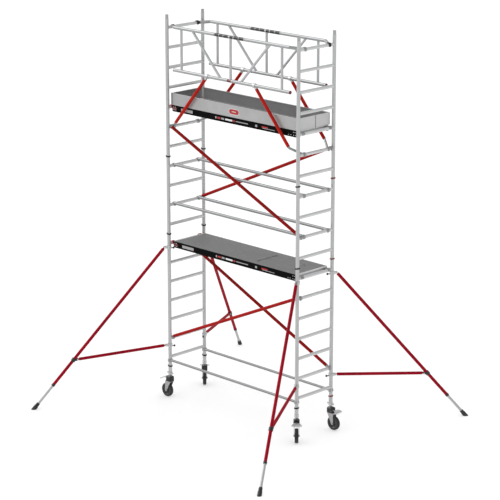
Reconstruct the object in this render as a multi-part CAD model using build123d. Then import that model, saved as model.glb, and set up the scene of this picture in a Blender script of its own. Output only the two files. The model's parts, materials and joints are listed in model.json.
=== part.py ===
from build123d import *
from math import atan2, cos, degrees, radians, sin, sqrt
import os

# Mobile access tower.  Millimetres, X along the long side, Y across, Z up, ground at Z = 0.
# ---- Tower grid ----
TOWER_LENGTH = 2500.0
TOWER_WIDTH = 680.0
RUNG_PITCH = 280.0
FRAME_BASE_Z = 455.0
FIRST_RUNG = 155.0
BOTTOM_RUNGS = 7
MIDDLE_RUNGS = 4
TOP_RUNGS = 7
POST_R = 25.4
POST_WALL = 2.5
RUNG_R = 22.5
RUNG_WALL = 2.0
# ---- Spigots and locking clips ----
SPIGOT_R = 22.6
SPIGOT_WALL = 2.6
SPIGOT_IN = 100.0
SPIGOT_OUT = 53.0
CLIP_Z = 21.0
CLIP_R = 30.5
CLIP_WIRE = 4.4
CLIP_TILT = 8.0
CLIP_PIN_R = 4.0
CLIP_HOLE_R = 4.4
CLIP_PIN_DEEP = 18.5
CLIP_PIN_SHORT = 22.9
# ---- Braces and their claws ----
BASE_BRACE_Z = 560.0
BASE_BRACE_R = 17.5
GUARD_BRACE_Y = 235.0
GUARD_BRACE_R = 21.5
GUARD_BRACE_RUNGS = (9, 11)
DIAGONAL_Y = 290.0
DIAGONAL_R = 22.5
TUBE_WALL = 2.0
CLAW_BORE = 22.7
CLAW_R = 32.0
CLAW_WIDTH = 36.0
CLAW_MOUTH = 37.0
CLAW_NECK = 74.0
BRACE_START = 40.0
NECK_GAP = 0.2
BRACE_RISE = 12.0
POST_CLAW_BORE = 25.6
POST_CLAW_R = 34.0
POST_CLAW_HEIGHT = 40.0
POST_CLAW_MOUTH = 42.0
POST_BRACE_START = 42.0
# ---- Platforms ----
LOWER_RUNG = 7
UPPER_RUNG = 14
DECK_ABOVE_RUNG = 40.0
DECK_THICK = 10.0
DECK_HALF_X = 1190.0
DECK_HALF_Y = 300.0
BEAM_HALF_Y = 305.0
BEAM_HEIGHT = 90.0
BEAM_WEB = 4.0
BEAM_FLANGE = 32.0
END_BEAM_DEPTH = 70.0
END_BEAM_FACE = 1185.0
END_BEAM_WIDE = 24.0
END_BEAM_WALL = 3.0
JOIST_WIDE = 40.0
JOIST_DEEP = 40.0
HATCH_X0 = 362.0
HATCH_X1 = 962.0
HATCH_HALF_Y = 205.0
HATCH_GAP = 2.5
HATCH_THICK = 9.3
HINGE_X = 359.5
HINGE_UP = 4.6
HINGE_R = 4.0
HINGE_PIN_R = 1.8
HINGE_BORE_R = 2.2
HINGE_LEAF = 2.0
HINGE_LEAF_LONG = 34.0
HINGE_BARREL = 40.0
HATCH_BARRELS = (-180.0, 0.0, 180.0)
DECK_BARRELS = (-138.6, 138.6)
FINGER_HOLE_R = 14.0
FINGER_HOLE_IN = 60.0
HOOK_Y = 262.0
HOOK_BORE = 22.8
HOOK_R = 32.0
HOOK_WIDTH = 46.0
HOOK_LOW = -12.0
HOOK_PLATE_LOW = -26.0
HOOK_PLATE_HIGH = 25.5
# ---- Toe boards ----
TOE_HEIGHT = 165.0
TOE_THICK = 18.0
TOE_WALL = 2.5
TOE_LIP = 14.0
TOE_HALF_X = 1193.0
TOE_SIDE_Y = 304.0
TOE_END_X = 1222.0
TOE_END_HALF_Y = 298.0
TOE_JOINT_Y = 20.0
TOE_JOINT_GAP = 4.0
# ---- Guardrails ----
RAIL_Y = 345.0
RAIL_TOP_Z = 5390.0
RAIL_LOW_Z = 4796.0
RAIL_R = 22.5
RAIL_STRAIGHT = 1090.0
RAIL_LOW_HALF = 1105.0
RAIL_END_X = 1212.0
RAIL_HOOK_Y = 232.0
RAIL_HOOK_NECK = 72.0
RAIL_END_GAP = 50.0
UPRIGHT_R = 18.0
UPRIGHT_X = (-955.0, 0.0, 955.0)
BRACKET_TOP_X = 742.0
BRACKET_LOW_X = 186.0
CAP_LONG = 16.0
CAP_LIP = 1.4
# ---- Guardrail arms ----
ARM_X = 450.0
ARM_R = 22.5
ARM_END_X = 1092.0
ARM_END_Y = 345.0
ARM_END_Z = 4052.0
ARM_CLAW_Y = 232.0
ARM_RUNG = 13
ARM_ROD_R = 16.0
ARM_ROD_IN = 60.0
KNUCKLE_R = 31.0
KNUCKLE_WIDE = 44.0
KNUCKLE_DROP = 58.0
ARM_NECK = 24.0
ARM_LOW_GAP = 18.0
# ---- Stabilisers ----
STAB_ANGLE = 60.0
STAB_PIVOT_R = 66.0
STAB_TOP_Z = 2240.0
STAB_LOW_Z = 787.0
STAB_FOOT_R = 1960.0
STAB_FOOT_Z = 30.0
STAB_TUBE_R = 22.5
STAB_TUBE_WALL = 2.5
STAB_TUBE_START = 26.0
STAB_TUBE_LONG = 2490.0
STAB_LEG_R = 19.0
STAB_LEG_WALL = 2.5
STAB_LEG_START = 1750.0
STAB_LEG_HOLES = 7
STAB_HOLE_PITCH = 70.0
STAB_HOLE_R = 4.5
STAB_COLLAR_AT = 2050.0
STAB_COLLAR_R = 31.0
STAB_COLLAR_WIDE = 46.0
STAB_COLLAR_GAP = 0.2
STAB_STRUT_R = 21.5
STAB_STRUT_WALL = 2.0
STAB_STRUT_GAP = 24.0
STAB_EAR_AT = 56.0
STAB_EAR_WIDE = 12.0
STAB_EAR_R = 14.0
STAB_BOLT_R = 5.0
STAB_BOLT_HALF = 21.0
STAB_HEAD_R = 9.0
STAB_HEAD_LONG = 6.0
COUPLER_BORE = 25.8
COUPLER_R = 34.0
COUPLER_HEIGHT = 44.0
COUPLER_SPLIT = 3.0
KNOB_AT = 52.0
KNOB_DROP = 15.0
KNOB_R = 13.0
KNOB_LONG = 26.0
KNOB_STEM_R = 6.0
GUIDE_LONG = 34.0
GUIDE_R = 25.0
GUIDE_BORE = 19.4
FOOT_R = 30.0
FOOT_LONG = 74.0
FOOT_BORE_DEEP = 46.0
# ---- Castors ----
WHEEL_R = 100.0
WHEEL_WIDE = 50.0
TYRE_INNER = 74.0
CORE_WEB = 12.0
CORE_RIM = 9.0
CORE_RIM_WIDE = 44.0
HUB_R = 24.0
HUB_WIDE = 58.0
HUB_BORE = 6.4
AXLE_R = 6.0
TRAIL = 60.0
FORK_GAP = 31.0
FORK_PLATE = 5.0
FORK_CROWN_Z = 236.0
FORK_CROWN = 7.0
FORK_TOP_BACK = 34.0
FORK_TOP_FRONT = 74.0
FORK_LOW_R = 21.0
NUT_R = 11.0
NUT_LONG = 8.0
KING_R = 10.0
KING_BORE = 10.4
KING_NUT_R = 17.0
KING_NUT_Z = 221.0
RUN_GAP = 0.4
HEAD_Z0 = 243.2
HEAD_Z1 = 316.0
HEAD_BACK = 44.0
HEAD_FRONT = 60.0
HEAD_HALF_Y = 42.0
HEAD_SLOT_X = 26.0
HEAD_SLOT_Y = 18.0
HEAD_SLOT_Z0 = 251.0
HEAD_SLOT_Z1 = 305.0
LOOP_R = 11.0
LOOP_WIRE = 3.2
LOOP_AT = 53.0
LOOP_TURN = 150.0
LOOP_Z = 264.0
LEVER_PIVOT_X = 46.0
LEVER_PIVOT_Z = 272.0
LEVER_HUB_R = 11.0
LEVER_HALF_Y = 17.5
LEVER_BORE = 4.4
LEVER_PIN_R = 4.0
LEVER_ARC_R = 62.0
LEVER_ARC_Z = 229.0
LEVER_PLATE = 5.0
LEVER_TIP_HALF = 74.0
LEVER_ROOT_HALF = 17.5
LEVER_REACH = 146.0
LEVER_ROOT_X = 52.0
SPINDLE_R = 19.0
SPINDLE_WALL = 4.0
SPINDLE_TOP_Z = 762.0
FLANGE_R = 32.0
FLANGE_THICK = 7.0
WINGNUT_Z0 = 345.0
WINGNUT_GAP = 0.4
WINGNUT_R = 27.0
WINGNUT_BORE = 19.4
WINGNUT_BOSS_R = 31.0
WINGNUT_BOSS_HIGH = 40.0
WING_REACH = 60.0
WING_THICK = 9.0
WING_HIGH = 26.0

HALF_X = TOWER_LENGTH / 2
HALF_Y = TOWER_WIDTH / 2
SIDES = (-1, 1)
CORNERS = {"front_left": (-1, -1), "front_right": (1, -1), "rear_left": (-1, 1), "rear_right": (1, 1)}
TRAIL_ANGLES = {"front_left": 180.0, "front_right": -45.0, "rear_left": 135.0, "rear_right": 0.0}
FRAMES = {
    "bottom": (0, BOTTOM_RUNGS),
    "middle": (BOTTOM_RUNGS, MIDDLE_RUNGS),
    "top": (BOTTOM_RUNGS + MIDDLE_RUNGS, TOP_RUNGS),
}
BIG = 400.0


def rung_z(number):
    """Height of a rung's axis, counted from 1 at the bottom."""
    return FRAME_BASE_Z + FIRST_RUNG + RUNG_PITCH * (number - 1)


def rod(start, end, radius):
    """Round bar between two points."""
    a, b = Vector(*start), Vector(*end)
    return Plane(origin=(a + b) * 0.5, z_dir=b - a) * Cylinder(radius, (b - a).length)


def tube(start, end, radius, wall):
    """Round tube, open at both ends."""
    return rod(start, end, radius) - rod(start, end, radius - wall)


def block(x0, x1, y0, y1, z0, z1):
    """Box from its limits along each axis."""
    return Pos((x0 + x1) / 2, (y0 + y1) / 2, (z0 + z1) / 2) * Box(abs(x1 - x0), abs(y1 - y0), abs(z1 - z0))


def along(start, end, distance):
    """Point at a distance from start on the way to end."""
    a, b = Vector(*start), Vector(*end)
    p = a + (b - a).normalized() * distance
    return (p.X, p.Y, p.Z)


def solids_of(shapes):
    """Every solid in a list of shapes, as one flat list."""
    return [solid for shape in shapes for solid in shape.solids()]


def save(name, shapes):
    """Write one node: each of its solids stays separate."""
    solids = solids_of(shapes)
    export_step(solids[0] if len(solids) == 1 else Compound(children=solids), f"parts/{name}.step")


# ---- End frames ----
def frame_bottom_z(first):
    """Height of the lower end of a frame that starts above rung number first."""
    return FRAME_BASE_Z + RUNG_PITCH * first


def end_frame(first, rungs, side):
    """Ladder frame: two upright tubes and its welded rungs, each trimmed to the uprights."""
    z0 = frame_bottom_z(first)
    z1 = z0 + RUNG_PITCH * rungs
    x = side * HALF_X
    pieces = []
    for y in (-HALF_Y, HALF_Y):
        post = tube((x, y, z0), (x, y, z1), POST_R, POST_WALL)
        post -= rod((x, y, z0 + CLIP_Z), (x + side * 2 * POST_R, y, z0 + CLIP_Z), CLIP_HOLE_R)
        pieces.append(post)
    rung = tube((x, -HALF_Y, 0), (x, HALF_Y, 0), RUNG_R, RUNG_WALL)
    for y in (-HALF_Y, HALF_Y):
        rung -= Pos(x, y, 0) * Cylinder(POST_R, 4 * RUNG_R)
    for step in range(rungs):
        pieces.append(Pos(0, 0, z0 + FIRST_RUNG + RUNG_PITCH * step) * rung)
    return pieces


def frame_spigots():
    """Sleeves fixed in the top ends of all frames, for the next frame to stand on."""
    pieces = []
    for first, rungs in FRAMES.values():
        top = frame_bottom_z(first + rungs)
        for sx in SIDES:
            for sy in SIDES:
                x, y = sx * HALF_X, sy * HALF_Y
                sleeve = tube((x, y, top - SPIGOT_IN), (x, y, top + SPIGOT_OUT), SPIGOT_R, SPIGOT_WALL)
                hole = rod((x, y, top + CLIP_Z), (x + sx * 2 * POST_R, y, top + CLIP_Z), CLIP_HOLE_R)
                pieces.append(sleeve - hole)
    return pieces


def locking_clips():
    """Wire ring round the foot of each upright, with a pin through the upright's hole."""
    pieces = []
    for first, _ in FRAMES.values():
        z = frame_bottom_z(first) + CLIP_Z
        inner = CLIP_PIN_SHORT if first == 0 else CLIP_PIN_DEEP
        for sx in SIDES:
            for sy in SIDES:
                ring = Pos(-CLIP_R, 0, 0) * Torus(CLIP_R, CLIP_WIRE)
                ring = Rot(0, -CLIP_TILT, 0) * ring
                ring = Pos(CLIP_R * cos(radians(CLIP_TILT)), 0, 0) * ring
                clip = ring + rod((inner, 0, 0), (CLIP_R + CLIP_WIRE, 0, 0), CLIP_PIN_R)
                turn = 0 if sx > 0 else 180
                pieces.append(Pos(sx * HALF_X, sy * HALF_Y, z) * Rot(0, 0, turn) * clip)
    return pieces


# ---- Braces ----
def rung_claw(rung_point, toward, neck_r, neck_long=CLAW_NECK, rise=0.0):
    """Claw snapped down over a rung, with a neck that enters the brace tube."""
    x, y, z = rung_point
    ring = Pos(x, y, z) * Rot(90, 0, 0) * Cylinder(CLAW_R, CLAW_WIDTH)
    root = (x, y, z + rise)
    neck = rod(root, along(root, toward, neck_long), neck_r)
    bore = Pos(x, y, z) * Rot(90, 0, 0) * Cylinder(CLAW_BORE, BIG)
    mouth = block(x - CLAW_MOUTH / 2, x + CLAW_MOUTH / 2, y - BIG, y + BIG, z - BIG, z)
    return ring + neck - bore - mouth


def brace_ends():
    """Ends of every rung-to-rung brace, a little above the rungs: start, end, tube radius."""
    ends = []
    for sy in SIDES:
        for rung in GUARD_BRACE_RUNGS:
            y, z = sy * GUARD_BRACE_Y, rung_z(rung) + BRACE_RISE
            ends.append(((-HALF_X, y, z), (HALF_X, y, z), GUARD_BRACE_R))
    for sy, left, right in ((-1, 13, 9), (1, 9, 13), (-1, 2, 6), (1, 6, 2)):
        y = sy * DIAGONAL_Y
        z0, z1 = rung_z(left) + BRACE_RISE, rung_z(right) + BRACE_RISE
        ends.append(((-HALF_X, y, z0), (HALF_X, y, z1), DIAGONAL_R))
    return ends


def brace_tubes(radius):
    """Brace tubes of one size, each stopping short of its two rungs."""
    return [
        tube(along(a, b, BRACE_START), along(b, a, BRACE_START), r, TUBE_WALL)
        for a, b, r in brace_ends()
        if r == radius
    ]


def brace_claws():
    """Claws of the rung-to-rung braces, two to a brace."""
    pieces = []
    for a, b, r in brace_ends():
        neck = r - TUBE_WALL - NECK_GAP
        for at, toward in ((a, b), (b, a)):
            rung_point = (at[0], at[1], at[2] - BRACE_RISE)
            pieces.append(rung_claw(rung_point, toward, neck, CLAW_NECK, BRACE_RISE))
    return pieces


def base_braces():
    """Horizontal tubes between the uprights, just below the lowest rungs."""
    reach = HALF_X - POST_BRACE_START
    z = BASE_BRACE_Z
    return [
        tube((-reach, sy * HALF_Y, z), (reach, sy * HALF_Y, z), BASE_BRACE_R, TUBE_WALL) for sy in SIDES
    ]


def base_brace_claws():
    """Claws of the base braces, gripping the uprights."""
    pieces = []
    for sx in SIDES:
        for sy in SIDES:
            x, y, z = sx * HALF_X, sy * HALF_Y, BASE_BRACE_Z
            ring = Pos(x, y, z) * Cylinder(POST_CLAW_R, POST_CLAW_HEIGHT)
            neck = rod((x, y, z), (x - sx * CLAW_NECK, y, z), BASE_BRACE_R - TUBE_WALL - NECK_GAP)
            bore = Pos(x, y, z) * Cylinder(POST_CLAW_BORE, BIG)
            mouth = block(x, x + sx * BIG, y - POST_CLAW_MOUTH / 2, y + POST_CLAW_MOUTH / 2, z - BIG, z + BIG)
            pieces.append(ring + neck - bore - mouth)
    return pieces


# ---- Platforms ----
def deck(z):
    """Deck board with the hatch opening and the fixed half of the hinge."""
    board = block(-DECK_HALF_X, DECK_HALF_X, -DECK_HALF_Y, DECK_HALF_Y, z - DECK_THICK, z)
    y = HATCH_HALF_Y + HATCH_GAP
    board -= block(HATCH_X0 - HATCH_GAP, HATCH_X1 + HATCH_GAP, -y, y, z - BIG, z + BIG)
    edge = HATCH_X0 - HATCH_GAP
    leaves = []
    for y in DECK_BARRELS:
        low, high = y - HINGE_BARREL / 2, y + HINGE_BARREL / 2
        leaf = block(edge - HINGE_LEAF_LONG, HINGE_X, low, high, z, z + HINGE_LEAF)
        barrel = rod((HINGE_X, low, z + HINGE_UP), (HINGE_X, high, z + HINGE_UP), HINGE_R)
        bore = rod((HINGE_X, y - BIG, z + HINGE_UP), (HINGE_X, y + BIG, z + HINGE_UP), HINGE_BORE_R)
        leaves.append(leaf + barrel - bore)
    return [board] + leaves


def hatch(z):
    """Hatch panel with a finger hole, its hinge barrels and the hinge pin."""
    panel = block(HATCH_X0, HATCH_X1, -HATCH_HALF_Y, HATCH_HALF_Y, z - HATCH_THICK, z)
    panel -= Pos(HATCH_X1 - FINGER_HOLE_IN, 0, z) * Cylinder(FINGER_HOLE_R, BIG)
    for y in HATCH_BARRELS:
        low, high = y - HINGE_BARREL / 2, y + HINGE_BARREL / 2
        panel += block(HINGE_X, HATCH_X0 + HINGE_LEAF_LONG, low, high, z + HINGE_R / 4, z + HINGE_LEAF)
        panel += block(HATCH_X0, HATCH_X0 + HINGE_LEAF_LONG, low, high, z, z + HINGE_LEAF)
        panel += rod((HINGE_X, low, z + HINGE_UP), (HINGE_X, high, z + HINGE_UP), HINGE_R)
    first, last = HATCH_BARRELS[0], HATCH_BARRELS[-1]
    panel += rod((HINGE_X, first, z + HINGE_UP), (HINGE_X, last, z + HINGE_UP), HINGE_PIN_R)
    return [panel]


def side_beams(z):
    """Side beams: a web with a ledge for the deck and a bottom flange."""
    pieces = []
    for sy in SIDES:
        outer = sy * BEAM_HALF_Y
        inner = outer - sy * BEAM_FLANGE
        low = z - BEAM_HEIGHT
        beam = block(-DECK_HALF_X, DECK_HALF_X, outer - sy * BEAM_WEB, outer, low, z)
        beam += block(-DECK_HALF_X, DECK_HALF_X, inner, outer, low, low + BEAM_WEB)
        beam += block(-DECK_HALF_X, DECK_HALF_X, inner, outer, z - DECK_THICK - BEAM_WEB, z - DECK_THICK)
        pieces.append(beam)
    return pieces


def cross_members(z):
    """End channels between the side beams and the two joists beside the hatch."""
    top = z - DECK_THICK - BEAM_WEB
    low = top - END_BEAM_DEPTH
    y = BEAM_HALF_Y - BEAM_WEB
    pieces = []
    for sx in SIDES:
        face = sx * END_BEAM_FACE
        back = face - sx * END_BEAM_WIDE
        channel = block(back, face, -y, y, low, top)
        channel -= block(back, face - sx * END_BEAM_WALL, -y, y, low + END_BEAM_WALL, top - END_BEAM_WALL)
        pieces.append(channel)
    clear = BEAM_HALF_Y - BEAM_FLANGE
    for x in (HATCH_X0 - HATCH_GAP, HATCH_X1 + HATCH_GAP):
        x0, x1 = x - JOIST_WIDE / 2, x + JOIST_WIDE / 2
        joist = block(x0, x1, -clear, clear, z - DECK_THICK - JOIST_DEEP, z - DECK_THICK)
        inside = block(
            x0 + END_BEAM_WALL,
            x1 - END_BEAM_WALL,
            -clear,
            clear,
            z - DECK_THICK - JOIST_DEEP + END_BEAM_WALL,
            z - DECK_THICK - END_BEAM_WALL,
        )
        pieces.append(joist - inside)
    return pieces


def platform_hooks(rung):
    """Hooks of one platform, four, laid over its two rungs."""
    z = rung_z(rung)
    pieces = []
    for sx in SIDES:
        for sy in SIDES:
            x, y = sx * HALF_X, sy * HOOK_Y
            low, high = y - HOOK_WIDTH / 2, y + HOOK_WIDTH / 2
            hook = Pos(x, y, z) * Rot(90, 0, 0) * Cylinder(HOOK_R, HOOK_WIDTH)
            hook -= block(x - BIG, x + BIG, y - BIG, y + BIG, z - BIG, z + HOOK_LOW)
            plate_low, plate_high = z + HOOK_PLATE_LOW, z + HOOK_PLATE_HIGH
            plate = block(sx * END_BEAM_FACE, x - sx * CLAW_BORE / 2, low, high, plate_low, plate_high)
            plate -= block(x - sx * HOOK_R, x + sx * BIG, low, high, z - BIG, z + HOOK_LOW)
            hook += plate
            hook -= Pos(x, y, z) * Rot(90, 0, 0) * Cylinder(HOOK_BORE, BIG)
            hook -= block(x - HOOK_BORE, x + HOOK_BORE, low, high, z - BIG, z)
            pieces.append(hook)
    return pieces


def toe_boards(z):
    """Folded boards round the upper deck: two long sides and two ends."""
    pieces = []
    for sy in SIDES:
        outer = sy * TOE_SIDE_Y
        face = outer - sy * TOE_WALL
        inner = outer - sy * TOE_THICK
        board = block(-TOE_HALF_X, TOE_HALF_X, face, outer, z, z + TOE_HEIGHT)
        top = z + TOE_HEIGHT
        board += block(-TOE_HALF_X, TOE_HALF_X, inner, outer, top - TOE_WALL, top)
        board += block(-TOE_HALF_X, TOE_HALF_X, inner, inner + sy * TOE_WALL, top - TOE_LIP, top)
        board += block(-TOE_HALF_X, TOE_HALF_X, inner, outer, z, z + TOE_WALL)
        pieces.append(board)
    y = TOE_END_HALF_Y - TOE_THICK
    for sx in SIDES:
        outer = sx * TOE_END_X
        inner = outer - sx * TOE_THICK
        start = z + TOE_WALL
        board = block(outer - sx * TOE_WALL, outer, -TOE_END_HALF_Y, TOE_END_HALF_Y, start, z + TOE_HEIGHT)
        board += block(inner, outer, -y, y, z + TOE_HEIGHT - TOE_WALL, z + TOE_HEIGHT)
        board += block(inner, inner + sx * TOE_WALL, -y, y, z + TOE_HEIGHT - TOE_LIP, z + TOE_HEIGHT)
        gap = TOE_JOINT_GAP / 2
        board -= block(inner - BIG, outer + BIG, TOE_JOINT_Y - gap, TOE_JOINT_Y + gap, z, z + BIG)
        pieces += solids_of([board])
    return pieces


# ---- Guardrails ----
def rail_hook_point(sx, sy):
    """Where a top rail's hook sits on rung 18."""
    return (sx * HALF_X, sy * RAIL_HOOK_Y, rung_z(BOTTOM_RUNGS + MIDDLE_RUNGS + TOP_RUNGS))


def rail_end_points(sx, sy):
    """End of the straight part of a top rail and its inward bent end."""
    hook = rail_hook_point(sx, sy)
    start = (sx * RAIL_STRAIGHT, sy * RAIL_Y, RAIL_TOP_Z)
    return start, along(hook, start, RAIL_END_GAP)


def guardrail(sy):
    """Guardrail tubes, each trimmed to its neighbours: two rails, three uprights, two brackets."""
    y = sy * RAIL_Y
    left, right = (-RAIL_STRAIGHT, y, RAIL_TOP_Z), (RAIL_STRAIGHT, y, RAIL_TOP_Z)
    low_left, low_right = (-RAIL_LOW_HALF, y, RAIL_LOW_Z), (RAIL_LOW_HALF, y, RAIL_LOW_Z)
    top_solid, low_solid = rod(left, right, RAIL_R), rod(low_left, low_right, RAIL_R)
    pieces = [tube(left, right, RAIL_R, TUBE_WALL), tube(low_left, low_right, RAIL_R, TUBE_WALL)]
    for sx in SIDES:
        start, end = rail_end_points(sx, sy)
        elbow = Pos(*start) * Sphere(RAIL_R) - Pos(*start) * Sphere(RAIL_R - TUBE_WALL)
        bent = elbow + rod(start, end, RAIL_R) - rod(start, end, RAIL_R - TUBE_WALL)
        pieces.append(bent - top_solid)
    members = [((x, y, RAIL_LOW_Z), (x, y, RAIL_TOP_Z)) for x in UPRIGHT_X]
    for sx in SIDES:
        members.append(((sx * BRACKET_LOW_X, y, RAIL_LOW_Z), (sx * BRACKET_TOP_X, y, RAIL_TOP_Z)))
    for a, b in members:
        pieces.append(tube(a, b, UPRIGHT_R, TUBE_WALL) - top_solid - low_solid)
    return pieces


def guardrail_hooks():
    """Claws of the top rails on rung 18."""
    pieces = []
    for sx in SIDES:
        for sy in SIDES:
            start, _ = rail_end_points(sx, sy)
            neck = RAIL_R - TUBE_WALL - NECK_GAP
            pieces.append(rung_claw(rail_hook_point(sx, sy), start, neck, RAIL_HOOK_NECK))
    return pieces


def rail_caps():
    """Plugs in the open ends of the lower rails."""
    pieces = []
    for sx in SIDES:
        for sy in SIDES:
            y, z = sy * RAIL_Y, RAIL_LOW_Z
            x = sx * RAIL_LOW_HALF
            plug = rod((x - sx * CAP_LONG, y, z), (x, y, z), RAIL_R - TUBE_WALL - NECK_GAP)
            plug += rod((x, y, z), (x + sx * CAP_LONG / 2, y, z), RAIL_R + CAP_LIP)
            pieces.append(plug)
    return pieces


def arm_ends(sx, sy):
    """Top and bottom of an arm's red tube."""
    top = (sx * ARM_X, sy * RAIL_Y, RAIL_LOW_Z)
    low = (sx * ARM_END_X, sy * ARM_END_Y, ARM_END_Z)
    return top, low


def guardrail_arms():
    """Sloping arms that carry the lower rails, one to each corner."""
    pieces = []
    for sx in SIDES:
        for sy in SIDES:
            top, low = arm_ends(sx, sy)
            end = along(low, top, ARM_LOW_GAP)
            pieces.append(tube(along(top, low, KNUCKLE_DROP), end, ARM_R, TUBE_WALL))
    return pieces


def arm_fittings():
    """Knuckle on the lower rail and bent rod with a claw on rung 13, for each arm."""
    pieces = []
    for sx in SIDES:
        for sy in SIDES:
            top, low = arm_ends(sx, sy)
            x, y, z = top
            plug = ARM_R - TUBE_WALL - NECK_GAP
            knuckle = rod((x - KNUCKLE_WIDE / 2, y, z), (x + KNUCKLE_WIDE / 2, y, z), KNUCKLE_R)
            knuckle += rod(top, along(top, low, KNUCKLE_DROP + ARM_NECK), plug)
            knuckle -= rod((x - BIG, y, z), (x + BIG, y, z), RAIL_R + NECK_GAP)
            pieces.append(knuckle)
            claw_at = (sx * HALF_X, sy * ARM_CLAW_Y, rung_z(ARM_RUNG))
            claw = rung_claw(claw_at, low, ARM_ROD_R, (Vector(*low) - Vector(*claw_at)).length)
            claw += Pos(*low) * Sphere(ARM_ROD_R)
            claw += rod(low, along(low, top, ARM_ROD_IN), ARM_ROD_R)
            pieces.append(claw)
    return pieces


# ---- Stabilisers, drawn in the plane X-Z with the upright on the Z axis ----
def stab_axis():
    """Pivot and foot point of a stabiliser's main tube."""
    return (STAB_PIVOT_R, 0, STAB_TOP_Z), (STAB_FOOT_R, 0, STAB_FOOT_Z)


def stab_collar_points():
    """Lower coupler pivot and the pivot of the collar on the main tube."""
    top, foot = stab_axis()
    collar = along(top, foot, STAB_COLLAR_AT)
    post = (STAB_PIVOT_R, 0, STAB_LOW_Z)
    return post, collar, along(collar, post, STAB_EAR_AT)


def clevis(pivot, tube_end, radius):
    """Tube end narrowed to a flat tongue with a bolt hole, for the pivot at a coupler."""
    tongue = Pos(*pivot) * Rot(90, 0, 0) * Cylinder(STAB_EAR_R, STAB_EAR_WIDE)
    a, b = Vector(*pivot), Vector(*tube_end)
    middle = Plane(origin=(a + b) * 0.5, z_dir=b - a, x_dir=(0, 1, 0))
    bar = middle * Box(STAB_EAR_WIDE, radius, (b - a).length)
    return tongue + bar - Pos(*pivot) * Rot(90, 0, 0) * Cylinder(STAB_BOLT_R, BIG)


def stab_tubes():
    """Main outer tube and lower strut of one stabiliser, each with its tongues."""
    top, foot = stab_axis()
    post, _, ear = stab_collar_points()
    start, end = along(top, foot, STAB_TUBE_START), along(top, foot, STAB_TUBE_LONG)
    main = tube(start, end, STAB_TUBE_R, STAB_TUBE_WALL)
    main += clevis(top, along(top, foot, STAB_TUBE_START + STAB_TUBE_R), STAB_TUBE_R)
    main += rod(start, along(top, foot, STAB_TUBE_START + STAB_TUBE_WALL), STAB_TUBE_R)
    main = main - Pos(*top) * Rot(90, 0, 0) * Cylinder(STAB_BOLT_R, BIG)
    a, b = along(post, ear, STAB_STRUT_GAP), along(ear, post, STAB_STRUT_GAP)
    strut = tube(a, b, STAB_STRUT_R, STAB_STRUT_WALL)
    strut += clevis(post, along(a, b, STAB_STRUT_R), STAB_STRUT_R)
    strut += clevis(ear, along(b, a, STAB_STRUT_R), STAB_STRUT_R)
    strut += rod(a, along(a, b, STAB_STRUT_WALL), STAB_STRUT_R)
    strut += rod(b, along(b, a, STAB_STRUT_WALL), STAB_STRUT_R)
    return [main, strut]


def coupler(z):
    """Hinged coupler round the upright: two jaws, ears for the pivot bolt, and a knob."""
    ring = Pos(0, 0, z) * Cylinder(COUPLER_R, COUPLER_HEIGHT)
    ears = block(0, STAB_PIVOT_R, -STAB_BOLT_HALF, STAB_BOLT_HALF, z - STAB_EAR_R, z + STAB_EAR_R)
    ears += Pos(STAB_PIVOT_R, 0, z) * Rot(90, 0, 0) * Cylinder(STAB_EAR_R, 2 * STAB_BOLT_HALF)
    slot = STAB_EAR_WIDE / 2 + NECK_GAP
    body = ring + ears
    body -= block(COUPLER_R + NECK_GAP, BIG, -slot, slot, z - BIG, z + BIG)
    body -= Pos(0, 0, z) * Cylinder(COUPLER_BORE, BIG)
    body -= block(-COUPLER_SPLIT / 2, COUPLER_SPLIT / 2, -BIG, BIG, z - BIG, z + BIG)
    body -= Pos(STAB_PIVOT_R, 0, z) * Rot(90, 0, 0) * Cylinder(STAB_BOLT_R, BIG)
    low = z - KNOB_DROP
    knob = rod((-COUPLER_R, 0, low), (-KNOB_AT - KNOB_R, 0, low), KNOB_STEM_R)
    knob += Pos(-KNOB_AT - KNOB_R, 0, low) * Cylinder(KNOB_R, KNOB_LONG)
    return solids_of([body]) + [knob]


def pivot_bolt(pivot, half):
    """Bolt through a pivot, with a head and a nut."""
    x, y, z = pivot
    bolt = rod((x, -half, z), (x, half, z), STAB_BOLT_R - NECK_GAP)
    for sy in SIDES:
        bolt += rod((x, sy * half, z), (x, sy * (half + STAB_HEAD_LONG), z), STAB_HEAD_R)
    return bolt


def stab_clamps():
    """Two couplers on the upright, the collar on the main tube, and their three bolts."""
    top, foot = stab_axis()
    post, collar, ear = stab_collar_points()
    pieces = coupler(STAB_TOP_Z) + coupler(STAB_LOW_Z)
    before = along(collar, top, STAB_COLLAR_WIDE / 2)
    after = along(collar, foot, STAB_COLLAR_WIDE / 2)
    ring = rod(before, after, STAB_COLLAR_R)
    x, _, z = ear
    a, b = Vector(*collar), Vector(*ear)
    lug = Plane(origin=(a + b) * 0.5, z_dir=b - a, x_dir=(0, 1, 0)) * Box(
        2 * STAB_BOLT_HALF, 2 * STAB_EAR_R, (b - a).length
    )
    lug += Pos(*ear) * Rot(90, 0, 0) * Cylinder(STAB_EAR_R, 2 * STAB_BOLT_HALF)
    slot_at = along(collar, ear, STAB_COLLAR_R + BIG / 2)
    slot = Plane(origin=slot_at, z_dir=b - a, x_dir=(0, 1, 0)) * Box(STAB_EAR_WIDE + 2 * NECK_GAP, BIG, BIG)
    body = ring + lug - slot
    body -= rod(top, foot, STAB_TUBE_R + STAB_COLLAR_GAP)
    body -= Pos(*ear) * Rot(90, 0, 0) * Cylinder(STAB_BOLT_R, BIG)
    pieces.append(body)
    for pivot in (top, post, ear):
        pieces.append(pivot_bolt(pivot, STAB_BOLT_HALF))
    end = along(top, foot, STAB_TUBE_LONG)
    sleeve = rod(end, along(end, foot, GUIDE_LONG), GUIDE_R)
    pieces.append(sleeve - rod(top, foot, GUIDE_BORE))
    return pieces


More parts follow.
